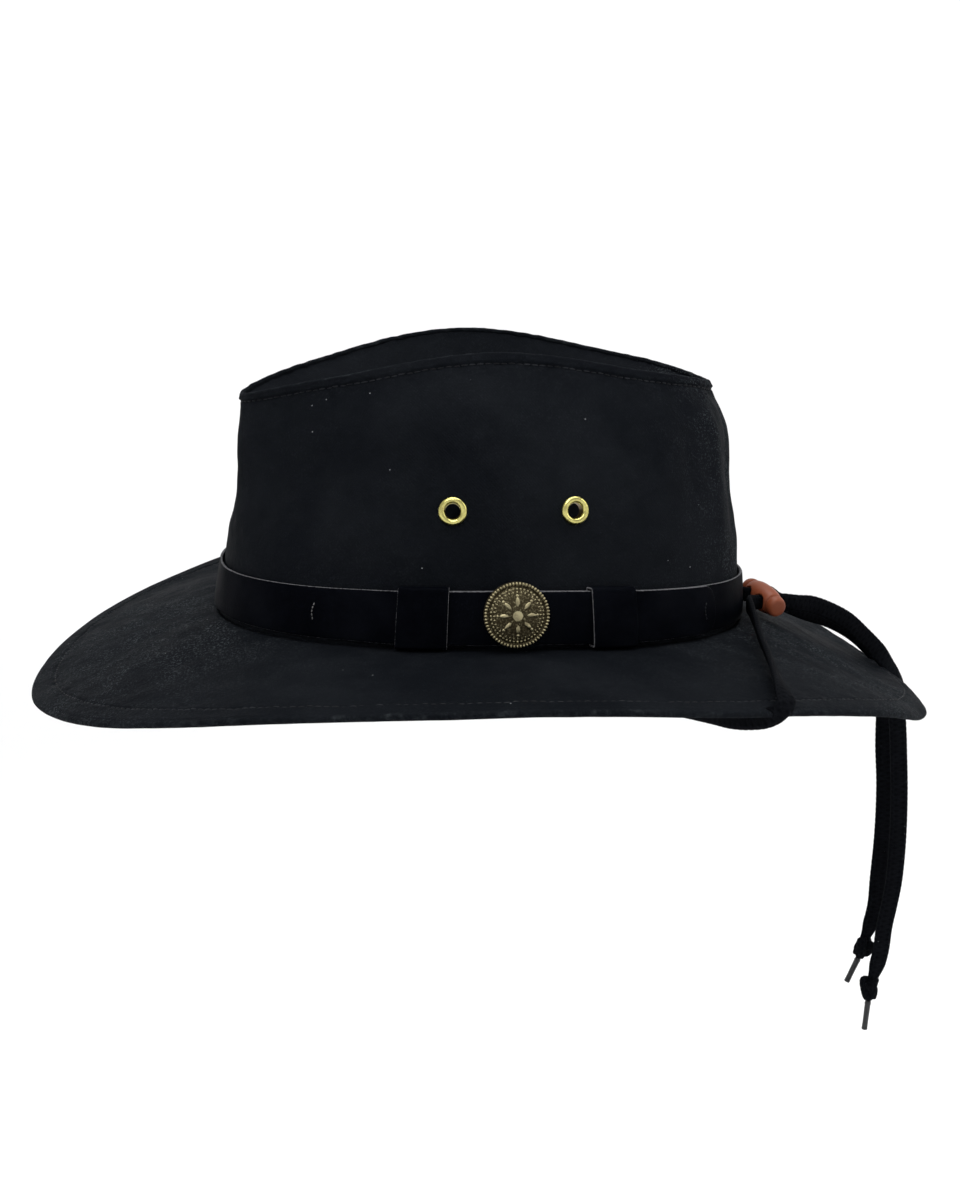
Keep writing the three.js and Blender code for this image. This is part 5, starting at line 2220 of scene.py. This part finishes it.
@dataclass(frozen=True)
class Braid:
    """Flat braided cord, with the relief of its plaits."""

    width: float = 0.0074
    thick: float = 0.0026
    squareness: float = 2.7
    step: float = 0.00034
    sides: int = 48
    plait: float = 0.00165
    plait_long: float = 1.5
    girth_share: float = 0.9
    relief: float = 0.00017
    even: float = 0.6
    crossing: float = 0.15

    def frames(self, path: Array, flats: Array) -> tuple[Array, Array]:
        """Directions of the width and of the thickness along a path.

        Args:
            path: points of the path.
            flats: wanted width directions.

        Returns:
            Width directions and thickness directions.
        """
        tangent = unit(np.gradient(path, axis=0))
        width = unit(flats - tangent * np.sum(flats * tangent, axis=1, keepdims=True))
        return width, np.cross(tangent, width)

    def build(
        self, name: str, path: Array, flats: Array, narrow: Array, shut: bool = False
    ) -> bpy.types.Object:
        """Sweeps the braid along a path.

        Args:
            name: the piece's name.
            path: points of the path.
            flats: width directions, one for each point.
            narrow: share of the full width, one for each point.
            shut: whether the path closes on itself.

        Returns:
            The cord, with the height of its plaits in the attribute "crest".
        """
        run = running_length(path)
        places = np.linspace(0, run[-1], max(int(run[-1] / self.step), 8) + 1)
        if shut:
            places = places[:-1]
        line = read_between(places, run, path)
        share = np.interp(places, run, narrow)[:, None]
        width, depth = self.frames(line, read_between(places, run, flats))
        turn = spaced_round(self.sides, 2 * math.pi)
        power = 2 / self.squareness
        x = np.sign(np.cos(turn)) * np.abs(np.cos(turn)) ** power
        y = np.sign(np.sin(turn)) * np.abs(np.sin(turn)) ** power
        around = round((self.width + self.thick) * self.girth_share / self.plait) * turn[None, :]
        along = 2 * math.pi * places[:, None] / (self.plait * self.plait_long)
        one = np.cos(around + along)
        two = np.cos(around - along)
        crest = np.clip(0.5 + 0.5 * np.maximum(one, two) - self.crossing * one * two, 0, 1)
        grow = 1 + self.relief * (crest - self.even) / (self.thick / 2)
        across = x * self.width / 2 * share * (1 + (grow - 1) * self.thick / self.width)
        outward = y * self.thick / 2 * (0.5 + 0.5 * share) * grow
        rings = line[:, None, :] + width[:, None, :] * across[..., None]
        rings = rings + depth[:, None, :] * outward[..., None]
        return ring_body(name, rings, shut, None, {"crest": crest})


@dataclass(frozen=True)
class Knot:
    """Small knot at a strand's end, and the sheathed tip below it.

    Fields:
        middle: middle of the knot.
        wide: its width.
        tall: its height.
        tip: end of the sheath.
        turn: how far it is turned about the strand.
    """

    middle: Triple
    wide: float
    tall: float
    tip: Triple
    turn: float
    yarn: float = 0.0033
    tip_radius: float = 0.0013
    lean: float = 0.0007
    flare: float = 0.26

    def along(self) -> Vector:
        """Returns the direction from the tip up to the knot."""
        return (Vector(self.middle) - Vector(self.tip)).normalized()

    def build(self, name: str) -> bpy.types.Object:
        """Builds the knot as a tied loop of the braid.

        Args:
            name: the piece's name.

        Returns:
            The knot.
        """
        turn = np.linspace(0, 2 * math.pi, 181)
        reach = (self.wide - self.yarn) / 2 / 3
        rise = (self.tall - self.yarn * 1.1) / 2
        up = np.sin(3 * turn) * (0.8 + 0.2 * np.cos(turn))
        full = 1 + self.flare * up
        own = np.stack(
            [
                reach * full * (np.sin(turn) + 2 * np.sin(2 * turn)) - self.lean * up,
                rise * up,
                reach * full * (np.cos(2 * turn) * 2 - np.cos(turn)),
            ],
            axis=1,
        )
        flats = unit(own * np.array([1.0, 0.25, 1.0])) + np.array([0.0, 0.6, 0.0])
        braid = Braid(width=self.yarn * 1.35, thick=self.yarn * 0.95, squareness=2.2, sides=30, plait=0.0014)
        facing = np.cross(np.gradient(own, axis=0), flats)
        knot = braid.build(name, own, facing, np.ones(len(own)), shut=True)
        aside = math.radians(self.turn)
        across = Vector((math.cos(aside), math.sin(aside), 0.0))
        knot.data.transform(placement(self.middle, self.along(), across))
        return knot

    def sheath(self, name: str) -> bpy.types.Object:
        """Builds the sheathed tip.

        Args:
            name: the piece's name.

        Returns:
            The tip.
        """
        start = self.tall / 2 - 0.0012
        length = (Vector(self.middle) - Vector(self.tip)).length
        r = self.tip_radius
        profile = [
            (-start, r * 0.9),
            (-start - 0.0016, r * 0.96),
            (-start - 0.0019, r * 1.06),
            (-start - 0.0026, r * 1.08),
            (-start - 0.0029, r),
            (-start - 0.006, r * 0.97),
            (-length + 0.004, r * 0.94),
            (-length + 0.0009, r * 0.97),
            (-length + 0.0005, r * 1.02),
            (-length + 0.0001, r * 0.92),
            (-length, r * 0.6),
        ]
        return turned_body(name, profile, 28, placement(self.middle, self.along(), (0, 1, 0)), False)


@dataclass(frozen=True)
class ChinCord:
    """Chin cord: two braids through a wooden slide, each ending in a knot and a sheathed tip."""

    slide: CordSlide
    left: Knot = Knot((0.1785, 0.009, -0.1888), 0.0086, 0.0124, (0.1769, 0.009, -0.2087), 20.0)
    right: Knot = Knot((0.1786, 0.020, -0.1738), 0.0090, 0.0112, (0.1714, 0.020, -0.1902), 75.0)
    pinch: float = 0.009
    pinch_share: float = 0.62
    squeeze: float = 0.011
    squeeze_share: float = 0.74

    def strand(self, name: str, side: Side) -> tuple[bpy.types.Object, Array, float]:
        """One strand, from the crown to its knot.

        Args:
            name: the piece's name.
            side: the side that it starts on.

        Returns:
            The strand, the points that it follows, and its length.
        """
        rows = route(side, self.slide)
        path = centripetal(np.array([row.at for row in rows], float), 24)
        flats = unit(np.array([row.flat for row in rows], float))
        place = np.linspace(0, len(rows) - 1, len(path))
        facing = read_between(place, np.arange(len(rows)), flats)
        run = running_length(path)
        left = run[-1] - run
        hole = np.linalg.norm(path - np.array(self.slide.hole_point(side, 0.0)), axis=1)
        narrow = 1 - (1 - self.pinch_share) * (1 - eased(left / self.pinch))
        narrow = narrow - (1 - self.squeeze_share) * bell(hole, self.squeeze)
        return Braid().build(name, path, facing, narrow), path, float(run[-1])

    def make(self, yarn: bpy.types.Material, sheath: bpy.types.Material, wood: bpy.types.Material) -> None:
        """Args:
            yarn: finish of the braids and knots.
            sheath: finish of the tips.
            wood: finish of the slide.
        """
        slide = finished(self.slide.build(), wood, Slot.WOOD, "slide")
        for side, label, end in ((Side.LEFT, "near", self.left), (Side.RIGHT, "far", self.right)):
            strand, path, length = self.strand(f"braid_{label}", side)
            finished(strand, yarn, Slot.BRAID, f"cord_{label}")
            knot = finished(end.build(f"tied_knot_{label}"), yarn, Slot.BRAID, f"knot_{label}")
            tip = finished(end.sheath(f"sheathed_tip_{label}"), sheath, Slot.SHEATH, f"tip_{label}")
            log.info("%s is %.3f m long", strand.name, length)


class Lamp(NamedTuple):
    """Square soft light that faces the hat.

    Fields:
        name: its name.
        at: where it stands.
        size: length of its side.
        power: its power in watts.
    """

    name: str
    at: Triple
    size: float
    power: float

    def make(self) -> None:
        """Adds the light to the scene."""
        lamp = bpy.data.lights.new(self.name, "AREA")
        lamp.size = self.size
        lamp.energy = self.power
        holder = linked(self.name, lamp)
        holder.location = self.at
        holder.rotation_euler = (-Vector(self.at)).to_track_quat("-Z", "Y").to_euler()


@dataclass(frozen=True)
class Studio:
    """Plain pale floor, soft lights and a camera at the photograph's angle."""

    floor_height: float = -0.6
    floor_reach: float = 2.6
    floor_bend: float = 0.8
    floor_sides: int = 96
    wall_height: float = 1.3
    floor_color: Triple = (0.93, 0.93, 0.935)
    sky: Triple = (1.0, 1.0, 1.0)
    sky_strength: float = 0.565
    camera_at: Triple = (-0.11035, -0.79236, 0.190)
    camera_tilt: float = 76.5
    camera_turn: float = -8.0
    lens: float = 60.24
    far_clip: float = 20.0

    lamps: tuple[Lamp, ...] = (
        Lamp("key", (-0.6, -1.2, 1.7), 1.1, 17.0),
        Lamp("top", (0.2, 0.2, 2.1), 1.8, 36.0),
        Lamp("side", (1.7, -0.4, 0.9), 1.0, 6.8),
    )

    def floor(self) -> None:
        """Makes the floor, which curves up all round far away."""
        arc = np.linspace(0, math.pi / 2, 12)
        bend, sides = self.floor_bend, self.floor_sides
        radii = [0.001, 0.4, 0.9] + [self.floor_reach - bend + bend * math.sin(a) for a in arc]
        heights = [0.0, 0.0, 0.0] + [bend - bend * math.cos(a) for a in arc]
        radii.append(self.floor_reach)
        heights.append(self.wall_height)
        angle = spaced_round(sides, 2 * math.pi)
        rings = [
            np.stack([r * np.cos(angle), r * np.sin(angle), np.full(sides, self.floor_height + h)], axis=1)
            for r, h in zip(radii, heights)
        ]
        faces = []
        for i in range(len(rings) - 1):
            for k in range(sides):
                beside = (k + 1) % sides
                low, high = i * sides, (i + 1) * sides
                faces.append((low + k, low + beside, high + beside, high + k))
        faces.append(tuple(range(sides - 1, -1, -1)))
        floor = mesh_object("studio_floor", np.concatenate(rings), faces)
        material, tree, shader = surface("pale_floor", 0.9, Specular_IOR_Level=0.2)
        coat(tree, shader, Base_Color=opaque(self.floor_color))
        floor.data.materials.append(material)

    def make(self) -> None:
        """Makes the floor, the lights, the sky and the camera."""
        self.floor()
        for lamp in self.lamps:
            lamp.make()
        world = bpy.data.worlds.new("sky")
        world.use_nodes = True
        background = world.node_tree.nodes["Background"]
        background.inputs[0].default_value = opaque(self.sky)
        background.inputs[1].default_value = self.sky_strength
        bpy.context.scene.world = world
        bpy.context.scene.view_settings.view_transform = "Standard"
        lens = bpy.data.cameras.new("camera")
        lens.lens = self.lens
        lens.clip_end = self.far_clip
        camera = linked("camera", lens)
        camera.location = self.camera_at
        camera.rotation_euler = (math.radians(self.camera_tilt), 0.0, math.radians(self.camera_turn))
        bpy.context.scene.camera = camera


def main() -> None:
    """Builds the hat round its frame."""
    logging.basicConfig(level=logging.INFO, format="%(message)s")
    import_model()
    form = HatForm()
    Studio().make()
    slide = CordSlide()
    ChinCord(slide).make(BraidYarn().material(), Sheath().material(), StainedWood().material())
    cloth = WaxedCotton().material()
    thread = SewingThread().material()
    # The bright brass's dark colour is tarnish, and painted shade inside the eyelets' holes.
    new = Brass("bright_brass", bright=(0.60, 0.55, 0.19), dark=(0.16, 0.11, 0.03), rough=0.22, age=0.35)
    old = Brass("aged_brass", bright=(0.42, 0.37, 0.22), dark=(0.045, 0.036, 0.02), rough=0.36, age=0.45)
    bright = new.material()
    aged = old.material()
    Crown(form).make(cloth, thread, bright)
    Brim(form).make(cloth, thread)
    band = Band(form)
    pale = SewingThread(color=(0.08, 0.08, 0.08), worn=(0.2, 0.2, 0.2)).material()
    band.make(BandLeather().material(), pale, thread)
    finished(Ornament(band).build(aged), aged, Slot.OLD_BRASS, "button")


if __name__ == "__main__":
    main()
